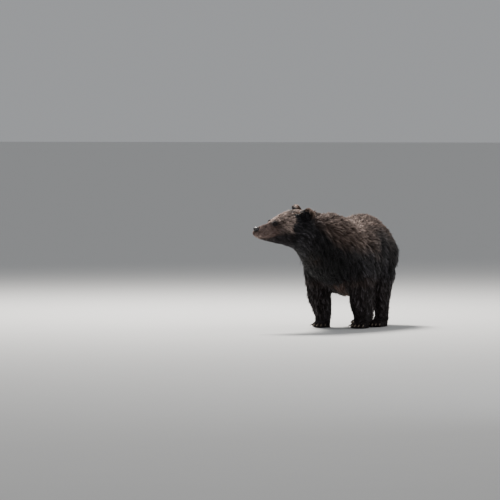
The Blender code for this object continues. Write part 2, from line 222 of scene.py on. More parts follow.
def swollen(nodes: Sequence[str], swell: float) -> bmesh.types.BMesh:
    """Copies of the nodes' solids in one bmesh, each moved out by swell, with its loose triangles joined."""
    whole = bmesh.new()
    for node in nodes:
        shape = bmesh.new()
        shape.from_mesh(FRAME["nodes"][node].data)
        bmesh.ops.remove_doubles(shape, verts=shape.verts, dist=MERGE)
        for vert, normal in [(vert, vert.normal.copy()) for vert in shape.verts]:
            vert.co += normal * swell
        piece = mesh_of(shape, node)
        whole.from_mesh(piece)
        bpy.data.meshes.remove(piece)
    return whole


def vert_rows(shape: bmesh.types.BMesh) -> Array:
    """The places of a bmesh's vertices, one row each."""
    return np.array([vert.co for vert in shape.verts])


def move_verts(shape: bmesh.types.BMesh, points: Array) -> None:
    """Moves a bmesh's vertices to the rows of points."""
    for vert, place in zip(shape.verts, points):
        vert.co = place


def middle(node: str) -> Array:
    """The middle of a node's box."""
    low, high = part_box(node)
    return np.array((low + high) / 2)


# ---------------------------------------------------------------- shader tools

def operator(operation: str, is_swapped: bool = False) -> Callable[[Socket, Value], Socket]:
    """A Python operator that adds one Math node. A swapped one takes its own socket second."""
    def run(self: Socket, other: Value) -> Socket:
        sides = (other, self) if is_swapped else (self, other)
        return self.tree.node("ShaderNodeMath", {"operation": operation}, dict(enumerate(sides)))
    return run


class Socket:
    """An output of a node, on which shader maths is written as Python expressions."""

    __add__, __radd__ = operator("ADD"), operator("ADD", is_swapped=True)
    __sub__, __rsub__ = operator("SUBTRACT"), operator("SUBTRACT", is_swapped=True)
    __mul__, __rmul__ = operator("MULTIPLY"), operator("MULTIPLY", is_swapped=True)

    def __init__(self, tree: NodeTree, output: bpy.types.NodeSocket) -> None:
        """Keeps the tree that the output belongs to."""
        self.tree = tree
        self.output = output


Value = Socket | float | Colour


class NodeTree:
    """The nodes of one material."""

    def __init__(self, name: str) -> None:
        """Starts a material that holds one Principled shader."""
        self.material = bpy.data.materials.new(name)
        self.material.use_nodes = True
        self.tree = self.material.node_tree
        self.shader = self.tree.nodes["Principled BSDF"]

    def node(self, kind: str, settings: dict[str, object], inputs: dict[int | str, Value],
             output: int | str = 0) -> Socket:
        """Adds a node.

        Args:
            kind: The node's type.
            settings: Its settings, and "stops" for the places and colours of a ramp.
            inputs: The values or links of its sockets, by name or number.
            output: Which output is returned.

        Returns:
            The output, wrapped.
        """
        made = self.tree.nodes.new(kind)
        for name, value in settings.items():
            if name == "stops":
                self._set_stops(made.color_ramp, value)
            else:
                setattr(made, name, value)
        for name, value in inputs.items():
            self.feed(made.inputs[name], value)
        return Socket(self, made.outputs[output])

    @staticmethod
    def _set_stops(scale: bpy.types.ColorRamp, stops: Sequence[tuple[float, float]]) -> None:
        """Gives a ramp its grey stops."""
        while len(scale.elements) < len(stops):
            scale.elements.new(1.0)
        for element, (place, level) in zip(scale.elements, stops):
            element.position = place
            element.color = (level, level, level, 1.0)

    def feed(self, target: bpy.types.NodeSocket, value: Value) -> None:
        """Links a wrapped output to a socket, or sets the socket to a number or colour."""
        if isinstance(value, Socket):
            self.tree.links.new(value.output, target)
        elif isinstance(value, tuple) and len(value) == 3 and target.type == "RGBA":
            target.default_value = (*value, 1.0)
        else:
            target.default_value = value

    def mix(self, share: Value, low: Value, high: Value, way: str = "MIX") -> Socket:
        """Mixes two colours by share."""
        return self.node("ShaderNodeMix", {"data_type": "RGBA", "blend_type": way, "clamp_factor": True},
                         {0: share, 6: low, 7: high}, 2)

    def step(self, value: Value, *stops: tuple[float, float]) -> Socket:
        """A grey that follows value, by the places and levels of its stops."""
        return self.node("ShaderNodeValToRGB", {"stops": stops}, {0: value})

    def shaded(self, colour: Value, level: Value) -> Socket:
        """A colour times a grey level."""
        grey = self.node("ShaderNodeCombineColor", {}, {0: level, 1: level, 2: level})
        return self.mix(1.0, colour, grey, "MULTIPLY")

    def attribute(self, name: str) -> tuple[Socket, Socket, Socket, Socket]:
        """The four numbers of a colour attribute."""
        made = self.tree.nodes.new("ShaderNodeAttribute")
        made.attribute_name = name
        parts = self.tree.nodes.new("ShaderNodeSeparateColor")
        self.tree.links.new(made.outputs["Color"], parts.inputs[0])
        first, second, third = (Socket(self, parts.outputs[index]) for index in range(3))
        return first, second, third, Socket(self, made.outputs["Alpha"])

    def place(self) -> Socket:
        """The point on the piece, in metres."""
        return self.node("ShaderNodeTexCoord", {}, {}, "Object")

    def noise(self, at: Value, scale: float, detail: float = 2.0) -> Socket:
        """A noise of about 0 to 1."""
        return self.node("ShaderNodeTexNoise", {}, {"Vector": at, "Scale": scale, "Detail": detail})

    def streaks(self, across: Value, along: Value, detail: float) -> Socket:
        """A noise on two numbers, of about 0 to 1."""
        at = self.node("ShaderNodeCombineXYZ", {}, {0: across, 1: along})
        return self.node("ShaderNodeTexNoise", {"noise_dimensions": "2D"},
                         {"Vector": at, "Scale": 1.0, "Detail": detail})

    def bump(self, height: Value, strength: float, distance: float) -> Socket:
        """A normal with the height pressed in."""
        return self.node("ShaderNodeBump", {},
                         {"Height": height, "Strength": strength, "Distance": distance})

    def finish(self, **inputs: Value) -> bpy.types.Material:
        """Feeds the shader's sockets, by their names with _ for spaces, and returns the material."""
        for name, value in inputs.items():
            self.feed(self.shader.inputs[name.replace("_", " ")], value)
        return self.material


# ---------------------------------------------------------------- finishes

@dataclass(frozen=True)
class CoatFinish:
    """Fur, and the skin under it, which carry the same markings.

    The markings come in two attributes. Marks holds how grizzled, how tan, how taupe and how wet the coat is
    at a root, with painted light and painted shade in some of them. Strand holds how far along its tuft a
    point is, the tuft's own tone, where across it the point lies, and the tone of its lock with a painted
    highlight along the lock's middle and painted shade at its sides.
    """

    name: str = "coat"
    brown: Colour = (0.064, 0.042, 0.035)
    black: Colour = (0.0190, 0.0182, 0.0202)
    # ridge is a painted highlight: the pale blue-grey sheen of the sky on the middles of wet locks
    ridge: Colour = (0.1650, 0.1580, 0.1780)
    grizzled: Colour = (0.820, 0.650, 0.570)
    tan: Colour = (0.190, 0.108, 0.064)
    taupe: Colour = (0.185, 0.130, 0.116)
    lip: Colour = (0.014, 0.011, 0.011)
    hairs: float = 7.0

    def material(self) -> bpy.types.Material:
        """Builds the fur's material."""
        tree = NodeTree(self.name)
        grizzle, tan, taupe, wet = tree.attribute(MARKS)
        along, tone, across, lock = tree.attribute(STRAND)
        bare = tree.attribute(BARE)[0]
        # painted reflection: the black is mixed towards the ridge colour along the middles of the locks
        shine = tree.mix(lock * lock * lock * (0.30 + 0.90 * tone), self.black, self.ridge)
        ends = []
        for dark in (self.black, shine):
            end = tree.mix(wet, self.brown, dark)
            end = tree.mix(tan, end, self.tan)
            ends.append(tree.mix(taupe, end, self.taupe))
        # the lock term makes the middles of locks paler: part of the locks' painted highlight
        tip = tree.mix(grizzle * (0.32 + 1.25 * lock * tone + 0.40 * tone), ends[1], self.grizzled)
        colour = tree.mix(tree.step(along, (0.25, 0.0), (0.95, 1.0)), ends[0], tip)
        # painted shade: each tuft darkens towards its root, where the tufts over it shade it
        colour = tree.mix(1.0, colour, tree.step(along, (0.0, 0.16), (0.55, 1.0)), "MULTIPLY")
        # the lock's painted highlight and shade, with the tuft's own tone, set how light the tuft is
        colour = tree.shaded(colour, 0.26 + 0.40 * tone + 1.05 * lock)
        line = tree.streaks(across * self.hairs, tone * 50.0 + along * 0.7, 1.0)
        colour = tree.shaded(colour, 2.4 * line - 0.20)
        colour = tree.mix(bare, colour, self.lip)
        rough = 0.78 - 0.38 * wet - 0.18 * bare
        return tree.finish(Base_Color=colour, Roughness=rough, Specular_IOR_Level=0.12,
                           Normal=tree.bump(line, 0.6, 0.0015))


@dataclass(frozen=True)
class NoseFinish:
    """Moist black skin with fine pebbles."""

    name: str = "nose"
    dark: Colour = (0.010, 0.009, 0.010)
    light: Colour = (0.045, 0.040, 0.042)
    pebble: float = 620.0

    def material(self) -> bpy.types.Material:
        """Builds the nose's material."""
        tree = NodeTree(self.name)
        cells = tree.node("ShaderNodeTexVoronoi", {}, {"Vector": tree.place(), "Scale": self.pebble})
        cloud = tree.noise(tree.place(), 60.0)
        return tree.finish(Base_Color=tree.mix(cloud, self.dark, self.light), Roughness=0.24 + 0.2 * cloud,
                           Specular_IOR_Level=0.6, Normal=tree.bump(1.0 - cells, 0.5, 0.0008))


@dataclass(frozen=True)
class EyeFinish:
    """A wet dark brown eye. The iris attribute holds how far a point is from the eye's axis."""

    name: str = "eye"
    pupil: Colour = (0.002, 0.002, 0.002)
    inner: Colour = (0.050, 0.021, 0.007)
    outer: Colour = (0.012, 0.005, 0.003)
    white: Colour = (0.030, 0.020, 0.016)

    def material(self) -> bpy.types.Material:
        """Builds the eye's material."""
        tree = NodeTree(self.name)
        radius = tree.attribute(IRIS)[0]
        fibres = tree.noise(tree.place(), 900.0)
        iris = tree.mix(fibres, self.outer, self.inner)
        colour = tree.mix(tree.step(radius, (0.36, 0.0), (0.41, 1.0)), self.pupil, iris)
        colour = tree.mix(tree.step(radius, (0.72, 0.0), (0.78, 1.0)), colour, self.white)
        return tree.finish(Base_Color=colour, Roughness=0.07, Specular_IOR_Level=0.35)


@dataclass(frozen=True)
class ClawFinish:
    """Pale worn horn, darker at its root. The strand attribute holds how far along the claw a point is."""

    name: str = "claw"
    root: Colour = (0.045, 0.032, 0.024)
    shaft: Colour = (0.190, 0.145, 0.100)
    tip: Colour = (0.380, 0.310, 0.225)

    def material(self) -> bpy.types.Material:
        """Builds the claw's material."""
        tree = NodeTree(self.name)
        along, _, across, _ = tree.attribute(STRAND)
        grain = tree.streaks(across * 14.0, along * 1.5, 3.0)
        colour = tree.mix(tree.step(along, (0.0, 0.0), (0.45, 1.0)), self.root, self.shaft)
        colour = tree.mix(tree.step(along, (0.5, 0.0), (1.0, 1.0)), colour, self.tip)
        colour = tree.shaded(colour, 0.55 + 0.8 * grain)
        return tree.finish(Base_Color=colour, Roughness=0.30 + 0.25 * grain,
                           Normal=tree.bump(grain, 0.4, 0.0006))


# ---------------------------------------------------------------- where things are

@dataclass(frozen=True)
class HeadFrame:
    """The head's own frame: the nose tip is its origin, it faces -Y, and its left is +X."""

    origin: Array
    axes: Array

    EYE = np.array((0.0500, 0.1330, 0.0475))

    @classmethod
    def from_eyes(cls) -> HeadFrame:
        """Finds the frame from the two eyes' solids. Its Y axis is level."""
        left, right = middle("eye_left"), middle("eye_right")
        x_axis = unit(left - right)
        y_axis = unit(np.cross(UP, x_axis))
        axes = np.array((x_axis, y_axis, np.cross(x_axis, y_axis)))
        return cls((left + right) / 2 - np.array((0, cls.EYE[1], cls.EYE[2])) @ axes, axes)

    def inside(self, points: Array) -> Array:
        """Points of the model in the head's frame."""
        return (points - self.origin) @ self.axes.T

    def outside(self, points: Array) -> Array:
        """Points of the head's frame in the model's."""
        return points @ self.axes + self.origin

    def turned(self, headings: Array) -> Array:
        """Directions of the head's frame in the model's."""
        return headings @ self.axes


class Foot:
    """A foot's place and the direction that its toes point."""

    COLUMN_FROM_HEEL = {"fore": 0.062, "hind": 0.075}
    LEG_TOP = {"fore": 0.52, "hind": 0.46}

    def __init__(self, name: str) -> None:
        """Reads the paw's solid and its claws. name is such as fore_left."""
        self.name = name
        kind, side = name.split("_")
        self.paw = f"{kind}_paw_{side}"
        self.leg_top = self.LEG_TOP[kind]
        low, high = (np.array(corner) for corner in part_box(self.paw))
        claws = np.array([middle(f"claw_{name}_{number}") for number in range(1, 6)])
        self.toes = claws.mean(axis=0)
        self.heel = np.array(((low[0] + high[0]) / 2, high[1], 0.0))
        # the column of the leg stands over the back of the paw
        self.column = np.array(((low[0] + high[0]) / 2, high[1] - self.COLUMN_FROM_HEEL[kind]))
        self.forward = unit((self.toes - self.heel) * (1, 1, 0))


class Places:
    """Where the parts of the body are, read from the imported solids."""

    RUMP_FROM_HUMP = 0.8889
    EAR_BASE = np.array((0.092, 0.390, 0.045))
    EAR_MIDDLE = np.array((0.103, 0.386, 0.105))
    EAR_FACES = np.array((0.70, -0.71, 0.05))

    def __init__(self) -> None:
        """Reads the boxes of the nodes."""
        self.head = HeadFrame.from_eyes()
        self.feet = [Foot(name) for name in ("fore_left", "fore_right", "hind_left", "hind_right")]
        self.hump_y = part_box("trunk")[1].y - self.RUMP_FROM_HUMP
        self.trunk_x = middle("trunk")[0]
        self.tail = middle("tail")


# ---------------------------------------------------------------- the coat's map

class CoatMap:
    """What the coat is like at each point of the body, as smooth functions of the place and the normal.

    Heights are over the floor, behind is measured from the hump, and face is the place in the head's frame.
    Bounds are in these measures, all in metres, and bounds on a part of a normal are shares of 1.
    """

    FILL = 0.62
    THROAT = unit(np.array((-0.35, -0.55, -0.75)))

    def __init__(self, places: Places, points: Array, normals: Array) -> None:
        """Works out which part of the body each point belongs to.

        Args:
            places: Where the parts are.
            points: Points on or near the skin.
            normals: Their outward directions.
        """
        self.places = places
        self.points = points
        self.normals = normals
        self.behind = points[:, 1] - places.hump_y
        self.height = points[:, 2]
        self.side = np.sign(points[:, 0])
        self.face = places.head.inside(points)
        self.head = fade(self.face[:, 1], 0.40, 0.47)
        self.muzzle = self.head * fade(self.face[:, 1], 0.075, 0.165)
        self.ears, self.ear_cup, self.ear_rim = self._ears()
        self.neck = (1 - self.head) * fade(self.behind, -0.20, -0.02)
        self.leg = self._legs()
        self.paw = fade(self.height, 0.055, 0.115)
        self.tail = fade(np.linalg.norm(points - places.tail, axis=1), 0.05, 0.10)
        self.belly = (ramp(-normals[:, 2], 0.15, 0.75) * fade(self.height, 0.40, 0.50)
                      * (1 - self.leg) * (1 - self.head))
        self.eyes = self._eyes()

    def _ears(self) -> tuple[Array, Array, Array]:
        """How much each point belongs to an ear, to the hollow of one, and to its rim."""
        ears, cups, rims = np.zeros((3, len(self.points)))
        turned = self.normals @ self.places.head.axes.T
        for sign in SIDES.values():
            away = self.face - mirrored(self.places.EAR_MIDDLE, sign)
            faces = unit(mirrored(self.places.EAR_FACES, sign))
            near = fade(np.linalg.norm(away * (1.0, 1.1, 0.9), axis=1), 0.066, 0.092)
            near *= ramp(self.face[:, 2], 0.055, 0.095)
            aside = away - (away @ faces)[:, None] * faces
            radius = np.linalg.norm(aside, axis=1)
            ears = np.maximum(ears, near)
            cup = near * ramp(turned @ faces, -0.1, 0.30) * fade(radius, 0.036, 0.050)
            cups = np.maximum(cups, cup)
            rims = np.maximum(rims, near * ramp(radius, 0.032, 0.048) * ramp(away @ faces, -0.025, 0.0))
        return ears, cups, rims

    def _eyes(self) -> Array:
        """How near each point is to an eye: 1 at the lids, 0 away from them."""
        away = [np.linalg.norm(self.face - Lids(sign).centre(), axis=1) for sign in SIDES.values()]
        return fade(np.minimum(*away), 0.014, 0.036)

    def _legs(self) -> Array:
        """How much each point belongs to a leg."""
        legs = fade(self.height, 0.16, 0.22)
        for foot in self.places.feet:
            away = (self.points[:, :2] - foot.column) * (1.0, 0.8)
            near = fade(np.linalg.norm(away, axis=1), 0.115, 0.175)
            legs = np.maximum(legs, near * fade(self.height, 0.33, foot.leg_top))
        return legs * (1 - self.head)

    def pick(self, trunk: Array | float, neck: Array | float, leg: float, paw: float,
             head: Array | float, muzzle: float, ear: Array | float) -> Array:
        """Blends one value for each part of the body, each part laid over the one before."""
        value = trunk + 0.0 * self.height
        shares = (self.neck, self.leg, self.paw, self.head, self.muzzle, self.ears)
        for part, share in zip((neck, leg, paw, head, muzzle, ear), shares):
            value = blend(value, part, share)
        return value

    def cheek(self) -> Array:
        """How much of the head's value is the cheek ruff's: 0 at the eyes, 1 at the back of the jaw."""
        return ramp(self.face[:, 1], 0.16, 0.36) * ramp(-self.face[:, 2], -0.09, 0.03)

    def depth(self) -> Array:
        """How far the skin lies inside the solids."""
        low_leg = fade(self.height, 0.14, 0.36)
        ear = blend(0.009, 0.019, self.ear_cup)
        deep = self.pick(0.030, 0.031, 0.020, 0.006, 0.0, 0.0, ear)
        deep = blend(deep, 0.013, low_leg * self.leg * (1 - self.paw))
        scalp = blend(0.012, 0.021, self.cheek())
        snout = blend(0.0028, 0.0045, ramp(self.face[:, 1], 0.0, 0.12))
        face = blend(scalp, snout, self.muzzle)
        face = blend(face, 0.0030, self.eyes)
        deep = blend(deep, face, self.head * (1 - self.ears))
        deep = blend(deep, 0.012, self.tail)
        # the soles of the paws stay on the floor
        sole = ramp(-self.normals[:, 2], 0.3, 0.8) * fade(self.height, 0.01, 0.04)
        return deep * blend(1.0, 0.0, sole)

    def length(self) -> Array:
        """How long a tuft is."""
        flank = blend(0.054, 0.090, fade(self.height, 0.55, 0.80))
        head = blend(0.021, 0.044, self.cheek())
        head = blend(head, 0.015, fade(self.face[:, 1], 0.13, 0.22))
        ear = blend(blend(0.015, 0.011, self.ear_cup), 0.020, self.ear_rim)
        head = blend(head, 0.007, self.eyes)
        neck = blend(0.058, 0.080, self.drenched())
        long = self.pick(flank, neck, 0.062, 0.020, head, 0.0085, ear)
        low_leg = fade(self.height, 0.12, 0.34)
        long = blend(long, 0.040, low_leg * self.leg * (1 - self.paw))
        near_tail = fade(np.linalg.norm(self.points - self.places.tail, axis=1), 0.07, 0.16)
        return blend(long, 0.042, near_tail)

    def width(self) -> Array:
        """How wide a tuft is."""
        head = blend(0.0033, 0.0052, self.cheek())
        trunk = blend(0.0052, 0.0068, self.drenched())
        head = blend(head, 0.0017, self.eyes)
        return self.pick(trunk, 0.0066, 0.0062, 0.0042, head, 0.0021, 0.0029)

    def layers(self) -> Array:
        """How many tufts lie over each point."""
        return self.pick(7.0, 7.2, 7.0, 4.6, 5.4, 4.8, 5.0)

    def cover(self) -> Array:
        """How much skin one tuft covers."""
        return self.length() * self.width() * self.FILL

    def gathering(self) -> Array:
        """How far the tufts of a lock run together: 0 apart, 1 into one point."""
        wet = self.drenched()
        return self.pick(blend(0.56, 0.88, wet), blend(0.60, 0.86, wet), 0.86, 0.40, 0.45, 0.20, 0.40)

    def drenched(self) -> Array:
        """How much the trunk's fur hangs in wet locks: 0 on the back, 1 on the flanks."""
        return fade(self.height + 0.04 * ripple(self.points, 0.22, 31), 0.56, 0.76)

    def lock_size(self) -> Array:
        """How far apart the locks stand."""
        return self.pick(blend(0.0125, 0.0195, self.drenched()), 0.0190, 0.0165, 0.008, 0.0100, 0.005, 0.008)

    def straying(self) -> Array:
        """The share of tufts that stand out from the rest."""
        back = blend(0.05, 0.10, self.drenched()) * fade(self.behind, 0.70, 0.80)
        return self.pick(back, 0.10, 0.20, 0.04, 0.04, 0.0, 0.02) * (1 - self.tail)

    def feathering(self) -> Array:
        """How much further the fur stands out along the backs and fronts of the legs."""
        return self.leg * (1 - self.paw) * ramp(np.abs(self.normals[:, 1]), 0.45, 0.90) * 0.7

    def fold(self) -> Array:
        """How deep a point lies in the fold between the ribs and the thigh."""
        middle_of = 0.36 + 0.10 * (self.height - 0.5)
        reach = ramp(self.height, 0.34, 0.44) * fade(self.height, 0.66, 0.80)
        return bell(self.behind, middle_of, 0.030) * reach * (1 - self.belly)

    def chest_and_hip_shade(self) -> Array:
        """How much painted shade darkens the locks: most on the chest, below the head, some on the hip."""
        chest = ramp(-self.normals[:, 1], 0.1, 0.6) * fade(self.behind, -0.10, 0.12)
        chest *= ramp(self.height, 0.32, 0.42) * fade(self.height, 0.66, 0.78) * (1 - self.head)
        hip = ramp(self.behind, 0.42, 0.56) * fade(self.height, 0.64, 0.74) * (1 - self.leg)
        return np.maximum(chest, 0.6 * hip)

    def lie(self) -> Array:
        """The way the fur lies, as directions along the skin."""
        ones = np.ones_like(self.height)
        flank = fade(self.normals[:, 2], 0.15, 0.95)
        low = fade(self.height, 0.45, 0.80)
        heading = np.stack([0 * ones, blend(1.0, 0.62, low), -flank * blend(0.55, 1.25, low)], axis=1)
        rump = ramp(self.behind, 0.55, 0.86)
        chest = ramp(-self.normals[:, 1], 0.1, 0.7) * fade(self.behind, 0.0, 0.2)
        neck = np.stack([0 * ones, 0.75 * ones, -flank], axis=1)
        for way, share in (((0.0, 0.10, -1.0), rump * flank), ((0.0, 0.15, -1.0), chest),
                           (neck, self.neck * (1 - chest)), ((0.0, 0.9, -0.6), self.belly),
                           ((0.0, 0.22, -1.0), self.leg)):
            heading = rows_blend(heading, np.array(way), share)
        for foot in self.places.feet:
            near = self.paw * (np.linalg.norm(self.points[:, :2] - foot.toes[:2], axis=1) < 0.16)
            heading = rows_blend(heading, foot.forward - 0.55 * UP, near)
        heading = rows_blend(heading, self._head_lie(), self.head)
        heading = rows_blend(heading, np.array((0.0, -0.25, -1.0)), self.tail)
        return unit(heading - self.normals * np.sum(heading * self.normals, axis=1, keepdims=True))

    def _head_lie(self) -> Array:
        """The lie of the fur on the head: back from the nose, down at the cheeks, and out at the ears."""
        ones = np.ones_like(self.height)
        x_side = np.sign(self.face[:, 0])
        cheek = self.cheek()
        heading = np.stack([0.15 * x_side, ones, -0.10 * ones - 0.75 * cheek], axis=1)
        for sign in SIDES.values():
            outward = unit(self.face - mirrored(self.places.EAR_BASE, sign))
            heading = rows_blend(heading, outward, self.ears * (x_side == sign))
            from_eye = unit(self.face - Lids(sign).centre())
            facing = ramp(-from_eye[:, 1], -0.2, 0.5) * 0.9 * self.eyes
            heading = rows_blend(heading, from_eye, facing * (x_side == sign))
        return self.places.head.turned(heading)

    def marks(self) -> Array:
        """How grizzled, tan, taupe and wet the coat is, one row for each point; the loin, throat, belly,
        chin and ear rims carry painted light, the fold of the flank and the hollows round the eyes painted
        shade.
        """
        cloud = ripple(self.points, 0.30, 11)
        patch = ripple(self.points, 0.09, 12)
        high = self.height + 0.030 * cloud + 0.012 * patch
        top = ramp(high, 0.56, 0.80)
        rump = ramp(self.behind, -0.02, 0.20)
        # the grizzle on top of the body is the fur's own; the extra band over the loin, just behind the
        # hump, is painted sunlight
        grizzle = top * (blend(0.20, 0.23, rump) + 0.24 * bell(self.behind, 0.18, 0.14))
        lift = 0.02 + 0.09 * ramp(self.behind, 0.05, 0.55)
        wet = fade(high - lift, 0.55, 0.72)
        border = -0.15 - 1.3 * (self.height - 0.65) + 0.03 * patch
        neck_side = ramp(border - self.behind, -0.05, 0.05) * fade(self.height, 0.82, 0.90)
        wet = np.maximum(wet, neck_side)
        # painted light: warm light shining through the fur is painted as tan on the throat's underside and
        # along the belly's lower edge
        throat = self.neck * ramp(self.normals @ self.THROAT, 0.60, 0.90) * ramp(self.height, 0.50, 0.60)
        under = fade(self.height, 0.36, 0.43) * ramp(self.behind, -0.02, 0.08)
        under *= fade(self.behind, 0.30, 0.40) * (1 - self.leg)
        fringe = self.leg * ramp(self.normals[:, 1], 0.6, 0.95) * fade(self.height, 0.16, 0.34)
        tan = np.maximum(np.maximum(throat * 0.30, under * 0.40), fringe * 0.35) * (0.7 + 0.3 * patch)
        face = self._face_marks(patch)
        # painted shade: in the fold between the ribs and the thigh the grizzle is taken out; the dark side
        # of the neck has none
        grizzle *= (1 - neck_side) * (1 - 0.8 * self.fold())
        # the painted warm light on the belly's edge also makes it taupe and less black
        body = np.stack([grizzle, tan, 0.5 * under, wet], axis=1)
        body[:, 3] *= (1 - 0.26 * self.leg) * (1 - 0.9 * under)
        return np.clip(rows_blend(body, face, self.head), 0.0, 1.0)

    def _face_marks(self, patch: Array) -> Array:
        """The markings of the head: pale crown, taupe muzzle, dark cheeks, and dark fur below the ears, with
        painted shade round the eyes and painted back-light on the chin and the tops of the ears' rims.
        """
        along, up = self.face[:, 1], self.face[:, 2]
        # the pale crown comes down behind the eye to the back of the cheek
        lowest = np.maximum(0.062 - 0.9 * (along - 0.130), -0.032)
        crown = ramp(up - lowest + 0.006 * patch, -0.014, 0.034) * ramp(along, 0.10, 0.15)
        crown *= blend(0.25, 1.0, ramp(up, -0.030, 0.058))
        middle_line = ramp(along, 0.10, 0.13) * fade(np.abs(self.face[:, 0]), 0.018, 0.040) * (up > 0.0)
        crown = 1.10 * np.maximum(crown, middle_line)
        # the dark fur of the neck starts in front of the ears and slants forward to the throat
        edge = 0.264 + 0.30 * np.minimum(up, 0.0) + 0.012 * patch
        dark = ramp(along, edge - 0.010, edge + 0.016) * fade(up, 0.122, 0.140)
        behind_mouth = Mouth.start + 0.27 * (along - Mouth.corner)
        jaw_line = np.where(along < Mouth.corner, Mouth().line(along), behind_mouth)
        soft = 0.006 + 0.030 * ramp(along, 0.12, 0.22)
        jaw = ramp((jaw_line - up + soft) / (soft + 0.012), 0.0, 1.0) * ramp(along, 0.012, 0.05)
        cheek = ramp(along, 0.13, 0.19) * (1 - crown) * (1 - dark)
        # painted shade: round the eye the fur is darker, less grizzled and less taupe, for the hollow under
        # the brow
        socket = ((along - 0.135) / 0.030) ** 2 + ((up - 0.048) / 0.016) ** 2
        socket = np.exp(-socket) * ramp(np.abs(self.face[:, 0]), 0.020, 0.034)
        wet = np.maximum(np.maximum(dark, jaw * 0.9), np.maximum(0.80 * cheek, 0.97 * socket))
        grizzle = crown + 0.13 * cheek * (1 - jaw) + 0.10 * self.muzzle
        # pale hairs run down in front of the dark fur
        grizzle += 0.34 * bell(along, edge - 0.030, 0.028) * (1 - jaw) * ramp(up, -0.10, -0.02)
        # a pale chin: pale chin hair with painted back-light on it
        chin = fade(along, 0.005, 0.035) * ramp(-up, 0.036, 0.050)
        grizzle = (grizzle + 0.6 * chin) * (1 - dark) * (1 - socket)
        taupe = (1 - dark) * (1 - jaw) * blend(0.38, 1.0, self.muzzle)
        taupe = taupe * (1 - 0.5 * crown) * (1 - 0.7 * socket)
        tan = 0.08 * crown * (1 - dark) + 0.40 * chin
        # the ear's rim is paler towards its top: painted rim light on the rim's brown fur
        top = ramp(up, 0.075, 0.115)
        # the edge of the ear towards the face is dark up to its top
        top *= np.maximum(ramp(along, 0.355, 0.385), ramp(up, 0.140, 0.158))
        tan = blend(blend(tan, 0.22 * top, self.ears), 0.50 * top, self.ear_rim * (1 - self.ear_cup))
        grizzle = blend(grizzle, 0.46 * self.ear_rim * top, self.ears)
        # a brown tuft joins the crown to the front of the ear
        tuft = ramp(along, 0.240, 0.270) * fade(along, 0.325, 0.350) * ramp(up, 0.108, 0.122)
        tuft *= ramp(np.abs(self.face[:, 0]), 0.035, 0.055)
        tan, grizzle, wet = blend(tan, 0.75, tuft), blend(grizzle, 0.20, tuft), wet * (1 - tuft)
        taupe *= 1 - self.ears
        wet = blend(wet, blend(1 - 0.9 * top, 1.0, self.ear_cup), self.ears)
        lid = ramp(self.eyes, 0.84, 0.99)
        grizzle, tan, taupe = grizzle * (1 - lid), tan * (1 - lid), np.maximum(taupe, 0.0) * (1 - 0.9 * lid)
        wet = np.maximum(wet, lid)
        return np.stack([grizzle, tan * (1 - self.ear_cup), taupe, wet], axis=1)


# ---------------------------------------------------------------- skin

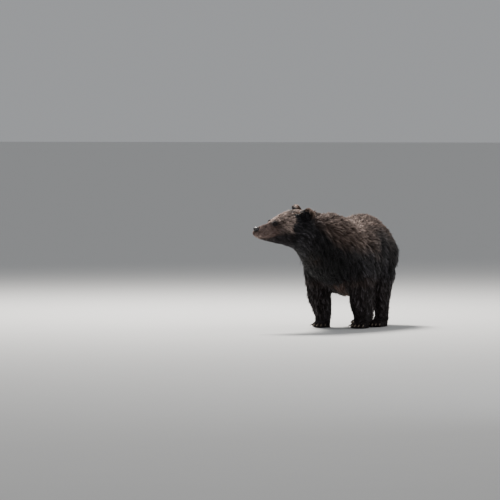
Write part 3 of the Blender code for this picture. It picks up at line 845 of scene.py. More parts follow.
@dataclass
class Skin:
    """One surface in place of all nodes of flesh, with lids, lips and the mouth's line."""

    places: Places
    joint_fill: float = 0.0014
    voxel: float = 0.0080
    steps: int = 4
    softening: float = 0.5
    soft_steps: int = 5
    unwrap_angle: float = 1.15
    island_margin: float = 0.002
    face_reach: float = 0.215
    eye_reaches: tuple[float, float, float] = (0.060, 0.040, 0.026)
    smoothings: int = 3
    thing: bpy.types.Object = field(init=False)

    FLESH = ("head", "lower_jaw", "neck", "trunk", "tail", "ear_left", "ear_right")
    LIMBS = ("upper_arm", "forearm", "fore_paw", "thigh", "shank", "hind_paw")

    def nodes(self) -> list[str]:
        """The nodes that the skin stands for."""
        return list(self.FLESH) + [f"{limb}_{side}" for limb in self.LIMBS for side in SIDES]

    def build(self) -> bpy.types.Object:
        """Makes the skin and returns its object."""
        mesh = self._blended()
        self._sink(mesh)
        mesh = self._refined(mesh)
        self._shape_face(mesh)
        self.thing = linked("skin", mesh)
        self._unwrap()
        self._mark(mesh)
        mesh.shade_smooth()
        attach(self.thing, BODY)
        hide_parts(*self.nodes())
        return self.thing

    def _blended(self) -> bpy.types.Mesh:
        """All nodes of flesh as one closed surface."""
        whole = swollen(self.nodes(), self.joint_fill)
        thing = linked("skin_raw", mesh_of(whole, "skin_raw"))
        remesh = thing.modifiers.new("blend", "REMESH")
        remesh.mode = "VOXEL"
        remesh.voxel_size = self.voxel
        soft = thing.modifiers.new("soft", "SMOOTH")
        soft.factor = self.softening
        soft.iterations = self.soft_steps
        return evaluated(thing)

    def _sink(self, mesh: bpy.types.Mesh) -> None:
        """Moves the surface in by the coat's depth, in a few steps."""
        depth = CoatMap(self.places, mesh_points(mesh), mesh_normals(mesh)).depth()
        for _ in range(self.steps):
            points = mesh_points(mesh) - mesh_normals(mesh) * depth[:, None] / self.steps
            points[:, 2] = np.maximum(points[:, 2], 0.0)
            place_points(mesh, points)

    def _refined(self, mesh: bpy.types.Mesh) -> bpy.types.Mesh:
        """Splits the faces of the face, and more finely those round the eyes, then smooths the steps."""
        shape = bmesh.new()
        shape.from_mesh(mesh)
        bpy.data.meshes.remove(mesh)
        for reach, eye_reach in zip((self.face_reach, 0.0, 0.0), self.eye_reaches):
            inside = self._near_face(shape, reach, eye_reach)
            edges = [edge for edge in shape.edges if all(vert in inside for vert in edge.verts)]
            bmesh.ops.subdivide_edges(shape, edges=edges, cuts=1, use_grid_fill=True)
            inside = list(self._near_face(shape, reach, eye_reach))
            for _ in range(self.smoothings):
                bmesh.ops.smooth_vert(shape, verts=inside, factor=self.softening, use_axis_x=True,
                                      use_axis_y=True, use_axis_z=True)
        bmesh.ops.triangulate(shape, faces=shape.faces)
        return mesh_of(shape, "skin")

    def _near_face(self, shape: bmesh.types.BMesh, reach: float, eye_reach: float) -> set:
        """The vertices of the front of the head, up to reach behind the nose, and round the eyes."""
        verts = list(shape.verts)
        face = self.places.head.inside(vert_rows(shape))
        chosen = face[:, 1] < reach
        for sign in SIDES.values():
            away = np.linalg.norm(face - mirrored(HeadFrame.EYE, sign), axis=1)
            chosen |= away < eye_reach
        return {vert for vert, is_in in zip(verts, chosen) if is_in}

    def _shape_face(self, mesh: bpy.types.Mesh) -> None:
        """Adds the mouth's line, the lips and the lids."""
        points = self.places.head.inside(mesh_points(mesh))
        normals = mesh_normals(mesh) @ self.places.head.axes.T
        points -= normals * Mouth().groove(points)[:, None]
        for sign in SIDES.values():
            points = Lids(sign).shape(points)
        place_points(mesh, self.places.head.outside(points))

    def _unwrap(self) -> None:
        """Unwraps the skin's own shape."""
        bpy.context.view_layer.objects.active = self.thing
        self.thing.select_set(True)
        self.thing.data.uv_layers.new(name=UNWRAP)
        bpy.ops.object.mode_set(mode="EDIT")
        bpy.ops.mesh.select_all(action="SELECT")
        bpy.ops.uv.smart_project(angle_limit=self.unwrap_angle, island_margin=self.island_margin)
        bpy.ops.object.mode_set(mode="OBJECT")
        self.thing.select_set(False)

    def _mark(self, mesh: bpy.types.Mesh) -> None:
        """Stores the markings and the bare places."""
        points = mesh_points(mesh)
        coat = CoatMap(self.places, points, mesh_normals(mesh))
        face = coat.face
        bare = Mouth().lip(face) * coat.muzzle
        for sign in SIDES.values():
            bare = np.maximum(bare, Lids(sign).rim(face))
        bare = np.maximum(bare, Nose.surround(face) * coat.muzzle)
        sole = ramp(-coat.normals[:, 2], 0.5, 0.9) * fade(coat.height, 0.004, 0.012)
        bare = np.maximum(bare, sole)
        set_rows(mesh, MARKS, coat.marks())
        # the skin takes the colour of the tufts' roots, darkened by the same painted shade
        tone = 0.5 + 0.25 * ripple(points, 0.02, 41)
        half = np.full(len(points), 0.5)
        set_rows(mesh, STRAND, np.stack([np.full(len(points), 0.22), tone, tone * 3.0, half], axis=1))
        set_rows(mesh, BARE, np.repeat(bare[:, None], 4, axis=1))


@dataclass(frozen=True)
class Mouth:
    """The closed mouth: the upper lip hangs over the jaw on both sides and rises to the corner."""

    start: float = -0.042
    droop: float = 0.025
    corner: float = 0.138
    half_width: float = 0.0026
    deep: float = 0.0040
    lip_full: float = 0.0030
    jaw_narrow: float = 0.0020
    cleft: float = 0.0020
    cleft_deep: float = 0.0022

    def line(self, along: Array) -> Array:
        """How high the mouth is, by how far a point lies behind the nose."""
        share = np.clip(along / self.corner, 0.0, 1.0)
        return self.start - self.droop * np.sin(math.pi * share ** 0.8)

    def _reach(self, face: Array) -> Array:
        """1 up to the mouth's corner and 0 behind it."""
        return fade(face[:, 1], self.corner - 0.022, self.corner) * ramp(face[:, 1], -0.02, -0.005)

    def _cleft(self, face: Array) -> Array:
        """How much a point lies in the cleft from the nose down to the mouth."""
        up = face[:, 2]
        low = ramp(up, self.start - 0.002, self.start + 0.002) * fade(up, -0.012, -0.006)
        return bell(face[:, 0], 0.0, self.cleft) * low * fade(face[:, 1], 0.02, 0.03)

    def groove(self, face: Array) -> Array:
        """How deep the skin is pressed in: the line, with the lip full over it and the jaw narrow below."""
        off = face[:, 2] - self.line(face[:, 1])
        line = bell(off, 0.0, self.half_width) * self.deep
        lip = bell(off, 0.009, 0.007) * self.lip_full
        jaw = bell(off, -0.010, 0.009) * self.jaw_narrow
        return (line - lip + jaw) * self._reach(face) + self.cleft_deep * self._cleft(face)

    def lip(self, face: Array) -> Array:
        """How much of the dark bare lip shows."""
        off = face[:, 2] - self.line(face[:, 1])
        return np.maximum(bell(off, -0.0008, 0.0024) * self._reach(face), 0.9 * self._cleft(face))


@dataclass(frozen=True)
class Lids:
    """The lids of one eye. sign is 1 for the left eye."""

    sign: float
    radius: float = 0.0115
    thick: float = 0.0012
    long_half: float = 0.0086
    tall_half: float = 0.0058
    mound: float = 0.0104
    reach: float = 0.028
    edge_rise: float = 0.0008
    brow_rise: float = 0.0022

    OUT = np.array((0.80, -0.58, 0.12))
    SET_BACK = 0.0030
    TILT = math.radians(24)

    def centre(self) -> Array:
        """The middle of the eyeball, a little behind its solid's."""
        return mirrored(HeadFrame.EYE - self.SET_BACK * unit(self.OUT), self.sign)

    def outward(self) -> Array:
        """The way the eye looks."""
        return unit(mirrored(self.OUT, self.sign))

    def _spread(self, face: Array) -> tuple[Array, Array, Array]:
        """How far points lie out from the eye's middle, along its slit towards the nose, and above it."""
        away = face - self.centre()
        out = self.outward()
        forward = unit(np.array((0.0, -1.0, 0.0)) + out * out[1])
        up = np.cross(out, forward) * -self.sign
        along = forward * math.cos(self.TILT) - up * math.sin(self.TILT)
        across = forward * math.sin(self.TILT) + up * math.cos(self.TILT)
        return away @ out, away @ along, away @ across

    def shape(self, face: Array) -> Array:
        """Raises the skin to lids over the ball, and tucks it in behind the ball where they open."""
        out, along, across = self._spread(face)
        gap = np.hypot(along, across)
        slit = np.hypot(along / self.long_half, across / self.tall_half)
        ball = np.sqrt(np.maximum(self.radius ** 2 - gap ** 2, 0.0))
        lid = self.radius + self.thick - gap ** 2 / (2 * self.mound)
        lid += self.edge_rise * bell(slit, 1.15, 0.16)
        lid += self.brow_rise * np.exp(-((across - 0.0125) / 0.0045) ** 2 - (along / 0.014) ** 2)
        target = blend(ball - 0.0024, lid, ramp(slit, 0.90, 1.08))
        hold = fade(gap, 1.05 * self.radius, self.reach) * (out > -0.022)
        return face + ((target - out) * hold)[:, None] * self.outward()

    def rim(self, face: Array) -> Array:
        """How much of the dark bare rim shows."""
        out, along, across = self._spread(face)
        slit = np.hypot(along / self.long_half, across / self.tall_half)
        return fade(slit, 1.40, 1.75) * (out > -0.002)


# ---------------------------------------------------------------- nose, eyes and claws

@dataclass
class Nose:
    """The nose: a rounded pad with a notch below, a groove down its middle and two nostrils."""

    places: Places
    size: tuple[float, float, float] = (0.0255, 0.0195, 0.0190)
    thing: bpy.types.Object = field(init=False)

    CENTRE = np.array((0.0, 0.002, -0.001))
    NOSTRIL = np.array((0.0120, -0.0165, 0.0005))
    NOSTRIL_SIZE = (0.0068, 0.010, 0.0052)
    SLIT = np.array((0.008, 0.006, -0.004))
    SLIT_SIZE = (0.0075, 0.010, 0.0024)

    @staticmethod
    def surround(face: Array) -> Array:
        """How much of the skin beside the nose is bare."""
        away = (face - Nose.CENTRE) / (0.028, 0.023, 0.023)
        return fade(np.linalg.norm(away, axis=1), 0.98, 1.10)

    def build(self) -> bpy.types.Object:
        """Makes the nose and returns its object."""
        shape = bmesh.new()
        bmesh.ops.create_icosphere(shape, subdivisions=5, radius=1.0)
        move_verts(shape, self.places.head.outside(self._formed(vert_rows(shape))))
        bmesh.ops.recalc_face_normals(shape, faces=shape.faces)
        self.thing = linked("nose", mesh_of(shape, "nose"))
        self.thing.data.shade_smooth()
        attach(self.thing, BODY)
        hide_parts("nose_pad")
        return self.thing

    def _formed(self, ball: Array) -> Array:
        """The nose's surface from a unit ball."""
        squared = np.sign(ball) * np.abs(ball) ** 0.86
        points = squared * self.size
        narrow = 1 - 0.38 * ramp(-ball[:, 2], 0.0, 0.9)
        points[:, 0] *= narrow
        front = ramp(-ball[:, 1], 0.1, 0.8)
        cleft = bell(points[:, 0], 0.0, 0.0022) * ramp(-ball[:, 2], -0.5, 0.3) * front
        points[:, 1] += 0.0032 * cleft
        for sign in SIDES.values():
            from_hole = points - mirrored(self.NOSTRIL, sign)
            away = np.linalg.norm(from_hole / self.NOSTRIL_SIZE, axis=1)
            slit = np.linalg.norm((from_hole - mirrored(self.SLIT, sign)) / self.SLIT_SIZE, axis=1)
            hole = np.maximum(fade(away, 0.45, 1.05), fade(slit, 0.5, 1.1))
            wing = bell(away, 1.25, 0.35) * front
            points[:, 1] += 0.0085 * hole - 0.0012 * wing
            points[:, 0] -= sign * 0.0030 * hole
        return points + self.CENTRE


@dataclass
class Eye:
    """One eyeball with a bulging cornea."""

    places: Places
    side: str
    cornea: float = 0.07
    cornea_edge: float = 0.75
    iris_edge: float = 0.95
    thing: bpy.types.Object = field(init=False)

    def build(self) -> bpy.types.Object:
        """Makes the eye and returns its object."""
        shape = bmesh.new()
        bmesh.ops.create_uvsphere(shape, u_segments=40, v_segments=26, radius=1.0)
        ball = vert_rows(shape)
        lids = Lids(SIDES[self.side])
        aim = np.array(Vector(lids.outward()).to_track_quat("Z", "Y").to_matrix())
        off_axis = np.arccos(np.clip(ball[:, 2], -1, 1))
        bulge = 1 + self.cornea * fade(off_axis, 0.0, self.cornea_edge)
        points = (ball * (lids.radius * bulge)[:, None]) @ aim.T + lids.centre()
        move_verts(shape, self.places.head.outside(points))
        name = f"eyeball_{self.side}"
        mesh = mesh_of(shape, name)
        set_rows(mesh, IRIS, np.repeat((off_axis / self.iris_edge)[:, None], 4, axis=1))
        mesh.shade_smooth()
        self.thing = linked(name, mesh)
        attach(self.thing, BODY)
        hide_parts(f"eye_{self.side}")
        return self.thing


@dataclass
class Claws:
    """The five claws of one foot, each a rounded copy of its solid."""

    foot: Foot
    swell: float = 0.0006
    margin: float = 0.003
    thing: bpy.types.Object = field(init=False)

    def build(self) -> bpy.types.Object:
        """Makes the claws and returns their object."""
        names = [f"claw_{self.foot.name}_{number}" for number in range(1, 6)]
        rounded = linked("claw_raw", mesh_of(swollen(names, self.swell), "claw_raw"))
        step = rounded.modifiers.new("round", "SUBSURF")
        step.levels = step.render_levels = 2
        mesh = evaluated(rounded)
        points = mesh_points(mesh)
        points[:, 2] = np.maximum(points[:, 2], 0.0)
        place_points(mesh, points)
        reach = (points - self.foot.heel) @ self.foot.forward
        along = np.zeros(len(points))
        across = np.zeros(len(points))
        for node in names:
            low, high = (np.array(corner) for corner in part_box(node))
            inside = np.all((points > low - self.margin) & (points < high + self.margin), axis=1)
            span = reach[inside]
            along[inside] = (span - span.min()) / max(np.ptp(span), 1e-6)
            across[inside] = (points[inside, 0] - low[0]) / 0.01
        set_rows(mesh, STRAND, np.stack([along, along, across, along], axis=1))
        mesh.shade_smooth()
        name = f"claws_{self.foot.name}"
        mesh.name = name
        self.thing = linked(name, mesh)
        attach(self.thing, BODY)
        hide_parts(*names)
        return self.thing


# ---------------------------------------------------------------- fur

class TuftKind(Enum):
    """How many rings a tuft has before its tip."""

    LONG = 3
    SHORT = 2


@dataclass(frozen=True)
class TuftShape:
    """The unit tuft: rings of three points, two edges and a ridge, and one tip."""

    kind: TuftKind

    PLACES = {TuftKind.LONG: (0.0, 0.38, 0.74), TuftKind.SHORT: (0.0, 0.48)}
    WIDTHS = {TuftKind.LONG: (0.50, 1.0, 0.66), TuftKind.SHORT: (0.60, 0.90)}

    def faces(self) -> Array:
        """The triangles of one tuft."""
        rings = self.kind.value
        made = [(0, 1, 2)]
        for ring in range(rings - 1):
            for corner in range(3):
                here, there = ring * 3 + corner, ring * 3 + (corner + 1) % 3
                made += [(here, here + 3, there + 3), (here, there + 3, there)]
        last = (rings - 1) * 3
        made += [(last + corner, rings * 3, last + (corner + 1) % 3) for corner in range(3)]
        return np.array(made)


@dataclass
class Roots:
    """Where tufts grow: places on the skin, its normals there, and their places on its unwrap."""

    places: Array
    normals: Array
    unwrap: Array

    def chosen(self, which: Array) -> Roots:
        """Only some of the roots."""
        return Roots(self.places[which], self.normals[which], self.unwrap[which])


@dataclass(frozen=True)
class CoatPiece:
    """One mesh of the coat.

    Attributes:
        name: The piece's name.
        slot: The name of a slot for it; nothing in this script reads it.
        kind: Its kind of tuft.
        most: The most tufts that it may have.
        here: Says how much of each point's coat belongs to the piece.
    """

    name: str
    slot: str
    kind: TuftKind
    most: int
    here: Callable[[CoatMap], Array]


class Coat:
    """The fur: tufts sown over the skin by area, combed, gathered in locks, and joined into pieces."""

    PATCH = 0.0029
    QUICK_SHARE = 0.35
    RIDGE = 0.50
    DRAWN_OUT = 2.6
    NEAREST = 6
    LEAST_CLEAR = 0.35
    LENGTHS = (0.72, 1.12)
    RISES = (0.50, 1.02)
    STRAY_RISES = (1.15, 1.5)
    WIDTHS = (0.75, 1.2)
    TIP_HEIGHT = 0.0025
    EDGE_HEIGHT = 0.0008
    ROOT_DEPTH = 0.0020

    def __init__(self, places: Places, skin: bpy.types.Object) -> None:
        """Reads the skin's triangles.

        Args:
            places: Where the parts of the body are.
            skin: The skin, unwrapped and triangulated.
        """
        self.places = places
        self.draw = np.random.default_rng(SEED)
        mesh = skin.data
        self.corners = read_rows(mesh.loops, "vertex_index", 1, np.int64).reshape(-1, 3)
        self.unwrap = read_rows(mesh.uv_layers[UNWRAP].data, "uv", 2).reshape(-1, 3, 2)
        self.points = mesh_points(mesh)
        self.normals = mesh_normals(mesh)
        self.bare = read_rows(mesh.attributes[BARE].data, "color", 4, np.float32)[:, 0]
        self.surface = BVHTree.FromPolygons(self.points.tolist(), self.corners.tolist())
        first, second, third = (self.points[self.corners[:, index]] for index in range(3))
        self.areas = 0.5 * np.linalg.norm(np.cross(second - first, third - first), axis=1)

    def grow(self, pieces: Sequence[CoatPiece]) -> list[bpy.types.Object]:
        """Grows every piece and returns their objects."""
        centres = self.points[self.corners].mean(axis=1)
        normals = unit(self.normals[self.corners].mean(axis=1))
        coat = CoatMap(self.places, centres, normals)
        clear = 1 - self.bare[self.corners].max(axis=1)
        clear = clear * (clear > self.LEAST_CLEAR)
        wanted = self.areas * coat.layers() / coat.cover() * clear
        made = []
        for piece in pieces:
            share = piece.here(coat)
            number = int(min((wanted * share).sum(), piece.most))
            roots = self._sow(wanted * share, number)
            made.append(self._piece(piece, roots))
            LOG.info("%s: %d tufts of %d wanted", piece.name, number, (wanted * share).sum())
        return made

    def _sow(self, weights: Array, number: int) -> Roots:
        """Spreads roots over the skin.

        Args:
            weights: How many tufts each triangle wants, to scale.
            number: How many roots.

        Returns:
            The roots.
        """
        edges = np.cumsum(weights)
        picks = (np.arange(number) + self.draw.random(number)) / number * edges[-1]
        faces = np.minimum(np.searchsorted(edges, picks), len(weights) - 1)
        first, second = self.draw.random((2, number))
        flip = first + second > 1
        first, second = np.where(flip, 1 - first, first), np.where(flip, 1 - second, second)
        shares = np.stack([1 - first - second, first, second], axis=1)[:, :, None]
        corners = self.corners[faces]
        return Roots((self.points[corners] * shares).sum(axis=1),
                     unit((self.normals[corners] * shares).sum(axis=1)),
                     (self.unwrap[faces] * shares).sum(axis=1))

    def _locks(self, coat: CoatMap, lie: Array) -> tuple[Array, Array]:
        """Gives each tuft the lock that it belongs to. Locks are longer along the lie than across it.

        Args:
            coat: The coat at the roots.
            lie: The way each tuft lies.

        Returns:
            The number of the tuft that leads each tuft's lock, and how near to the lock's side it grows.
        """
        number = len(coat.points)
        size = coat.lock_size()
        layered = coat.layers() / coat.cover()
        chance = 1 / np.maximum(layered * size ** 2 * self.DRAWN_OUT, 1.0)
        leaders = np.flatnonzero(self.draw.random(number) < chance)
        tree = kdtree.KDTree(len(leaders))
        for place in leaders:
            tree.insert(coat.points[place], int(place))
        tree.balance()
        near = np.array([[hit[1] for hit in tree.find_n(point, self.NEAREST)] for point in coat.points])
        gap = coat.points[:, None] - coat.points[near]
        along = np.sum(gap * lie[:, None], axis=2)
        aside = np.linalg.norm(gap - along[:, :, None] * lie[:, None], axis=2)
        best = np.hypot(along / self.DRAWN_OUT, aside).argmin(axis=1)[:, None]
        edge = np.take_along_axis(aside, best, axis=1)[:, 0] / (0.55 * size)
        return np.take_along_axis(near, best, axis=1)[:, 0], np.clip(edge, 0.0, 1.0)

    def _laid(self, tips: Array, rise: Array, share: Array) -> Array:
        """Lays tips that reach out past the body's curve back towards the skin.

        Args:
            tips: Where the tips would be.
            rise: How far out each may stand.
            share: How much of the rest is taken back.

        Returns:
            The tips.
        """
        nearest = np.array([self.surface.find_nearest(tip)[0] for tip in tips.tolist()])
        away = tips - nearest
        excess = np.maximum(np.linalg.norm(away, axis=1) - rise, 0.0)
        return tips - unit(away) * (excess * share)[:, None]

    def _piece(self, piece: CoatPiece, roots: Roots) -> bpy.types.Object:
        """Builds one piece of the coat from its roots."""
        coat = CoatMap(self.places, roots.places, roots.normals)
        number = len(roots.places)
        draw = self.draw
        lie = coat.lie()
        side = np.cross(roots.normals, lie)
        dry = 1 - coat.gathering()
        sway = 0.20 * ripple(roots.places, 0.10, 21) + (0.12 + 0.35 * dry) * ripple(roots.places, 0.030, 22)
        sway += draw.normal(0, 0.12, number)
        lie = unit(lie + side * sway[:, None])
        side = np.cross(roots.normals, lie)
        length = coat.length() * draw.uniform(*self.LENGTHS, number)
        length = length * (1 + 0.12 * ripple(roots.places, 0.05, 23))
        rise = np.maximum(coat.depth(), 0.0022) * draw.uniform(*self.RISES, number)
        rise *= 1 + (0.14 + 0.22 * dry) * ripple(roots.places, 0.030, 24)
        leader, edge = self._locks(coat, lie)
        rise *= 1.14 - 0.46 * edge * coat.gathering() - 0.30 * coat.fold() + coat.feathering()
        stray = draw.random(number) < coat.straying()
        rise *= np.where(stray, draw.uniform(*self.STRAY_RISES, number), 1.0)
        rise = np.clip(rise, 0.0008, length * 0.75)
        run = np.sqrt(length ** 2 - rise ** 2)
        tips = roots.places + lie * run[:, None] + roots.normals * rise[:, None]
        share = np.clip(coat.gathering() * draw.uniform(0.80, 1.12, number), 0.0, 0.96)
        share *= np.where(stray, 0.5, 1.0)
        aside = roots.places - roots.places[leader]
        along = np.sum(aside * lie, axis=1, keepdims=True) * lie
        # the tips of a lock meet across the lie, but stay apart along it
        own = along * 0.55 + (aside - along) * 0.10
        tips += (tips[leader] + own - tips) * share[:, None]
        tips = self._laid(tips, rise, np.where(stray, 0.72, 0.87) * (1 - coat.ears))
        tips[:, 2] = np.maximum(tips[:, 2], self.TIP_HEIGHT)
        bend = roots.places + lie * (0.34 * run)[:, None] + roots.normals * (0.86 * rise)[:, None]
        wave = coat.gathering() * 0.0045 * np.sin(12.0 * draw.random(number))
        bend += side * wave[:, None]
        width = coat.width() * draw.uniform(*self.WIDTHS, number)
        shape = TuftShape(piece.kind)
        points, along, across = self._swept(shape, roots, bend, tips, width)
        tone = draw.random(number)
        chance = draw.random(number)[leader]
        # each lock has a random tone; where tufts gather into locks painted light is laid over it: a painted
        # highlight along the lock's middle, painted shade at its sides, in the fold between the ribs and the
        # thigh, and on the chest and hip
        ridge = (1 - edge) ** 1.6 * (0.55 + 0.75 * chance)
        lock_tone_and_painted_light = blend(0.10 + 0.80 * chance, ridge, coat.gathering() ** 1.5) * (1 - 0.6 * coat.fold())
        lock_tone_and_painted_light = np.clip(lock_tone_and_painted_light * (1 - 0.85 * coat.chest_and_hip_shade()), 0.0, 1.0)
        each = shape.kind.value * 3 + 1
        strand = np.stack([along, np.repeat(tone, each), across + np.repeat(tone * 7, each),
                           np.repeat(lock_tone_and_painted_light, each)], axis=1)
        patch = np.stack([across - 0.5, along - 0.5], axis=1) * self.PATCH
        unwrap = np.repeat(roots.unwrap, each, axis=0) + patch
        faces = (shape.faces()[None] + (np.arange(number) * each)[:, None, None]).reshape(-1, 3)
        mesh = self._mesh(piece.name, points, faces, unwrap)
        set_rows(mesh, MARKS, np.repeat(coat.marks(), each, axis=0))
        set_rows(mesh, STRAND, strand)
        thing = linked(piece.name, mesh)
        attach(thing, BODY)
        return thing

    def _swept(self, shape: TuftShape, roots: Roots, bend: Array, tips: Array,
               width: Array) -> tuple[Array, Array, Array]:
        """Sweeps the unit tuft along each tuft's curve.

        Args:
            shape: The unit tuft.
            roots: The roots.
            bend: The middle control points of the curves.
            tips: The ends of the curves.
            width: The widths of the tufts.

        Returns:
            The points of all tufts, how far along its tuft each is, and where across it.
        """
        number = len(tips)
        twist = self.draw.normal(0, 0.35, number)
        start = roots.places - roots.normals * self.ROOT_DEPTH
        rows, along, across = [], [], []
        for t, wide in zip(shape.PLACES[shape.kind], shape.WIDTHS[shape.kind]):
            centre = start * (1 - t) ** 2 + bend * 2 * t * (1 - t) + tips * t * t
            path = unit((bend - start) * (1 - t) + (tips - bend) * t)
            over = unit(np.cross(roots.normals, path))
            ridge = np.cross(path, over)
            over, ridge = (rows_turned(over, ridge, twist), rows_turned(ridge, -over, twist))
            half = (width * wide / 2)[:, None]
            rows += [centre - over * half, centre + over * half, centre + ridge * half * self.RIDGE]
            along += [t] * 3
            across += [0.0, 1.0, 0.5]
        rows.append(tips)
        along.append(1.0)
        across.append(0.5)
        points = np.stack(rows, axis=1).reshape(-1, 3)
        points[:, 2] = np.maximum(points[:, 2], self.EDGE_HEIGHT)
        return points, np.tile(along, number), np.tile(across, number)

    @staticmethod
    def _mesh(name: str, points: Array, faces: Array, unwrap: Array) -> bpy.types.Mesh:
        """A mesh of points and triangles, with its unwrap."""
        mesh = bpy.data.meshes.new(name)
        mesh.vertices.add(len(points))
        mesh.vertices.foreach_set("co", points.astype(np.float32).ravel())
        mesh.loops.add(faces.size)
        mesh.loops.foreach_set("vertex_index", faces.astype(np.int32).ravel())
        mesh.polygons.add(len(faces))
        mesh.polygons.foreach_set("loop_start", np.arange(0, faces.size, 3, dtype=np.int32))
        mesh.update(calc_edges=True)
        layer = mesh.uv_layers.new(name=UNWRAP)
        layer.data.foreach_set("uv", unwrap[faces.ravel()].astype(np.float32).ravel())
        mesh.shade_smooth()
        return mesh


def rows_turned(rows: Array, others: Array, angle: Array) -> Array:
    """Rows turned by angle towards others."""
    return rows * np.cos(angle)[:, None] + others * np.sin(angle)[:, None]


def coat_pieces() -> list[CoatPiece]:
    """The pieces that the coat is divided into, each under 200,000 triangles."""
    def on_head(coat: CoatMap) -> Array:
        return (coat.head > 0.5) * 1.0

    def on_leg(coat: CoatMap) -> Array:
        return (coat.head <= 0.5) * (coat.leg > 0.5)

    def is_front(coat: CoatMap) -> Array:
        return (coat.behind < 0.40) * 1.0

    def trunk(low: float, high: float) -> Callable[[CoatMap], Array]:
        return lambda coat: ((coat.head <= 0.5) * (coat.leg <= 0.5)
                             * (coat.behind >= low) * (coat.behind < high))

    def leg(front: bool, side: float) -> Callable[[CoatMap], Array]:
        return lambda coat: (on_leg(coat) * (is_front(coat) == front) * (coat.side == side)
                             * (coat.paw <= 0.5))

    def is_high(coat: CoatMap) -> Array:
        return coat.height > 0.70

    def is_far_back(coat: CoatMap) -> Array:
        return coat.face[:, 1] >= 0.20

    long, short = TuftKind.LONG, TuftKind.SHORT
    pieces = [
        CoatPiece("coat_muzzle", "coat_head", short, 15000, lambda c: on_head(c) * (c.face[:, 1] < 0.10)),
        CoatPiece("coat_brow", "coat_head", short, 15000,
                  lambda c: on_head(c) * (c.face[:, 1] >= 0.10) * ~is_far_back(c)),
        CoatPiece("coat_crown", "coat_head", short, 15000,
                  lambda c: on_head(c) * is_far_back(c) * (c.face[:, 2] >= 0.03)),
        CoatPiece("coat_cheeks", "coat_head", short, 15000,
                  lambda c: on_head(c) * is_far_back(c) * (c.face[:, 2] < 0.03)),
        CoatPiece("coat_neck", "coat_back", long, 9000, trunk(-9.0, -0.10)),
        CoatPiece("coat_withers", "coat_back", short, 12000, lambda c: trunk(-0.10, 0.35)(c) * is_high(c)),
        CoatPiece("coat_rump", "coat_back", short, 15000, lambda c: trunk(0.35, 9.0)(c) * is_high(c)),
        CoatPiece("coat_ribs", "coat_back", long, 11500, lambda c: trunk(-0.10, 0.35)(c) * ~is_high(c)),
        CoatPiece("coat_haunches", "coat_back", long, 11500, lambda c: trunk(0.35, 9.0)(c) * ~is_high(c)),
        CoatPiece("coat_paws", "coat_legs", short, 9000, lambda c: on_leg(c) * (c.paw > 0.5)),
    ]
    for kind, front in (("fore", True), ("hind", False)):
        for side, sign in SIDES.items():
            pieces.append(CoatPiece(f"coat_{kind}_{side}", "coat_legs", long, 9500, leg(front, sign)))
    return pieces


# ---------------------------------------------------------------- stage

def looking(place: Vector, target: Vector) -> Matrix:
    """The matrix of a light or camera that stands at place and looks at target."""
    return Matrix.Translation(place) @ (target - place).to_track_quat("-Z", "Y").to_matrix().to_4x4()


@dataclass(frozen=True)
class Lamp:
    """A soft square light: its place and side in metres, its power in watts, and its colour."""

    name: str
    place: tuple[float, float, float]
    size: float
    power: float
    colour: Colour


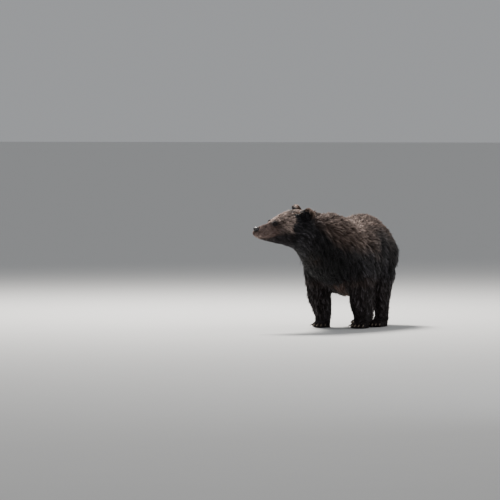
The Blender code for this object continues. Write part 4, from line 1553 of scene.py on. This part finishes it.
@dataclass(frozen=True)
class Stage:
    """The floor, the lights and the camera."""

    floor_half: float = 400.0
    floor_colour: Colour = (0.72, 0.72, 0.71)
    sky_colour: Colour = (0.93, 0.95, 0.98)
    sky_strength: float = 0.38
    camera_azimuth: float = math.radians(30)
    camera_side: float = -0.624
    camera_distance: float = 30.0
    camera_height: float = 1.53
    target_height: float = 0.606
    lens: float = 280.5
    far_end: float = 2000.0
    lit_point: tuple[float, float, float] = (0.0, 0.0, 0.5)

    LAMPS = (Lamp("key", (-3.2, 2.2, 6.6), 2.0, 1300.0, (1.0, 0.965, 0.92)),
             Lamp("fill", (7.2, -5.0, 3.0), 5.0, 75.0, (0.90, 0.95, 1.0)),
             Lamp("rim", (4.0, 5.5, 3.5), 3.0, 80.0, (1.0, 0.98, 0.95)))

    def build(self, places: Places) -> None:
        """Makes everything that isn't part of the bear."""
        self._floor()
        self._sky()
        for lamp in self.LAMPS:
            self._light(lamp)
        self._camera(places)

    def _floor(self) -> None:
        """A plain pale floor."""
        shape = bmesh.new()
        bmesh.ops.create_grid(shape, x_segments=1, y_segments=1, size=self.floor_half)
        floor = linked("floor", mesh_of(shape, "floor"))
        tree = NodeTree("floor")
        cloud = tree.noise(tree.place(), 3.0)
        low = tuple(level * 0.97 for level in self.floor_colour)
        floor.data.materials.append(tree.finish(Base_Color=tree.mix(cloud, low, self.floor_colour),
                                                Roughness=0.9))
        floor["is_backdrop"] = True

    def _sky(self) -> None:
        """An even pale surround."""
        world = bpy.data.worlds.new("studio")
        world.use_nodes = True
        ground = world.node_tree.nodes["Background"]
        ground.inputs["Color"].default_value = (*self.sky_colour, 1.0)
        ground.inputs["Strength"].default_value = self.sky_strength
        bpy.context.scene.world = world

    def _light(self, lamp: Lamp) -> None:
        """Makes one light, which looks at the bear."""
        light = bpy.data.lights.new(lamp.name, "AREA")
        light.size = lamp.size
        light.energy = lamp.power
        light.color = lamp.colour
        thing = bpy.data.objects.new(lamp.name, light)
        thing.matrix_world = looking(Vector(lamp.place), Vector(self.lit_point))
        bpy.context.scene.collection.objects.link(thing)

    def _camera(self, places: Places) -> None:
        """A long lens, far off and a little above the bear's back."""
        right = Vector((math.cos(self.camera_azimuth), math.sin(self.camera_azimuth), 0))
        back = Vector((math.sin(self.camera_azimuth), -math.cos(self.camera_azimuth), 0))
        hump = Vector((places.trunk_x, places.hump_y, 0))
        target = hump + right * self.camera_side + Vector((0, 0, self.target_height))
        place = hump + right * self.camera_side + back * self.camera_distance
        place.z = self.camera_height
        lens = bpy.data.cameras.new("camera")
        lens.lens = self.lens
        lens.clip_end = self.far_end
        camera = bpy.data.objects.new("camera", lens)
        camera.matrix_world = looking(place, target)
        bpy.context.scene.collection.objects.link(camera)
        bpy.context.scene.camera = camera


# ---------------------------------------------------------------- the whole

def corners() -> list[list[float]]:
    """The lowest and highest corners of what shows, as plain lists."""
    return [list(map(float, corner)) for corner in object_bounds()]


def dress(things: Sequence[bpy.types.Object], material: bpy.types.Material) -> None:
    """Gives each object one material."""
    for thing in things:
        thing.data.materials.clear()
        thing.data.materials.append(material)


def main() -> None:
    """Builds the bear and its stage."""
    logging.basicConfig(level=logging.INFO, format="%(name)s: %(message)s")
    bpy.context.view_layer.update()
    places = Places()
    Stage().build(places)
    skin = Skin(places).build()
    LOG.info("skin: %d triangles", len(skin.data.polygons))
    coat = Coat(places, skin).grow(coat_pieces())
    dress([skin, *coat], CoatFinish().material())
    dress([Nose(places).build()], NoseFinish().material())
    dress([Eye(places, side).build() for side in SIDES], EyeFinish().material())
    dress([Claws(foot).build() for foot in places.feet], ClawFinish().material())
    total = sum(len(thing.data.polygons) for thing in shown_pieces() if thing.type == "MESH")
    LOG.info("polygons in all: %d", total)


if __name__ == "__main__":
    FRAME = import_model()
    main()
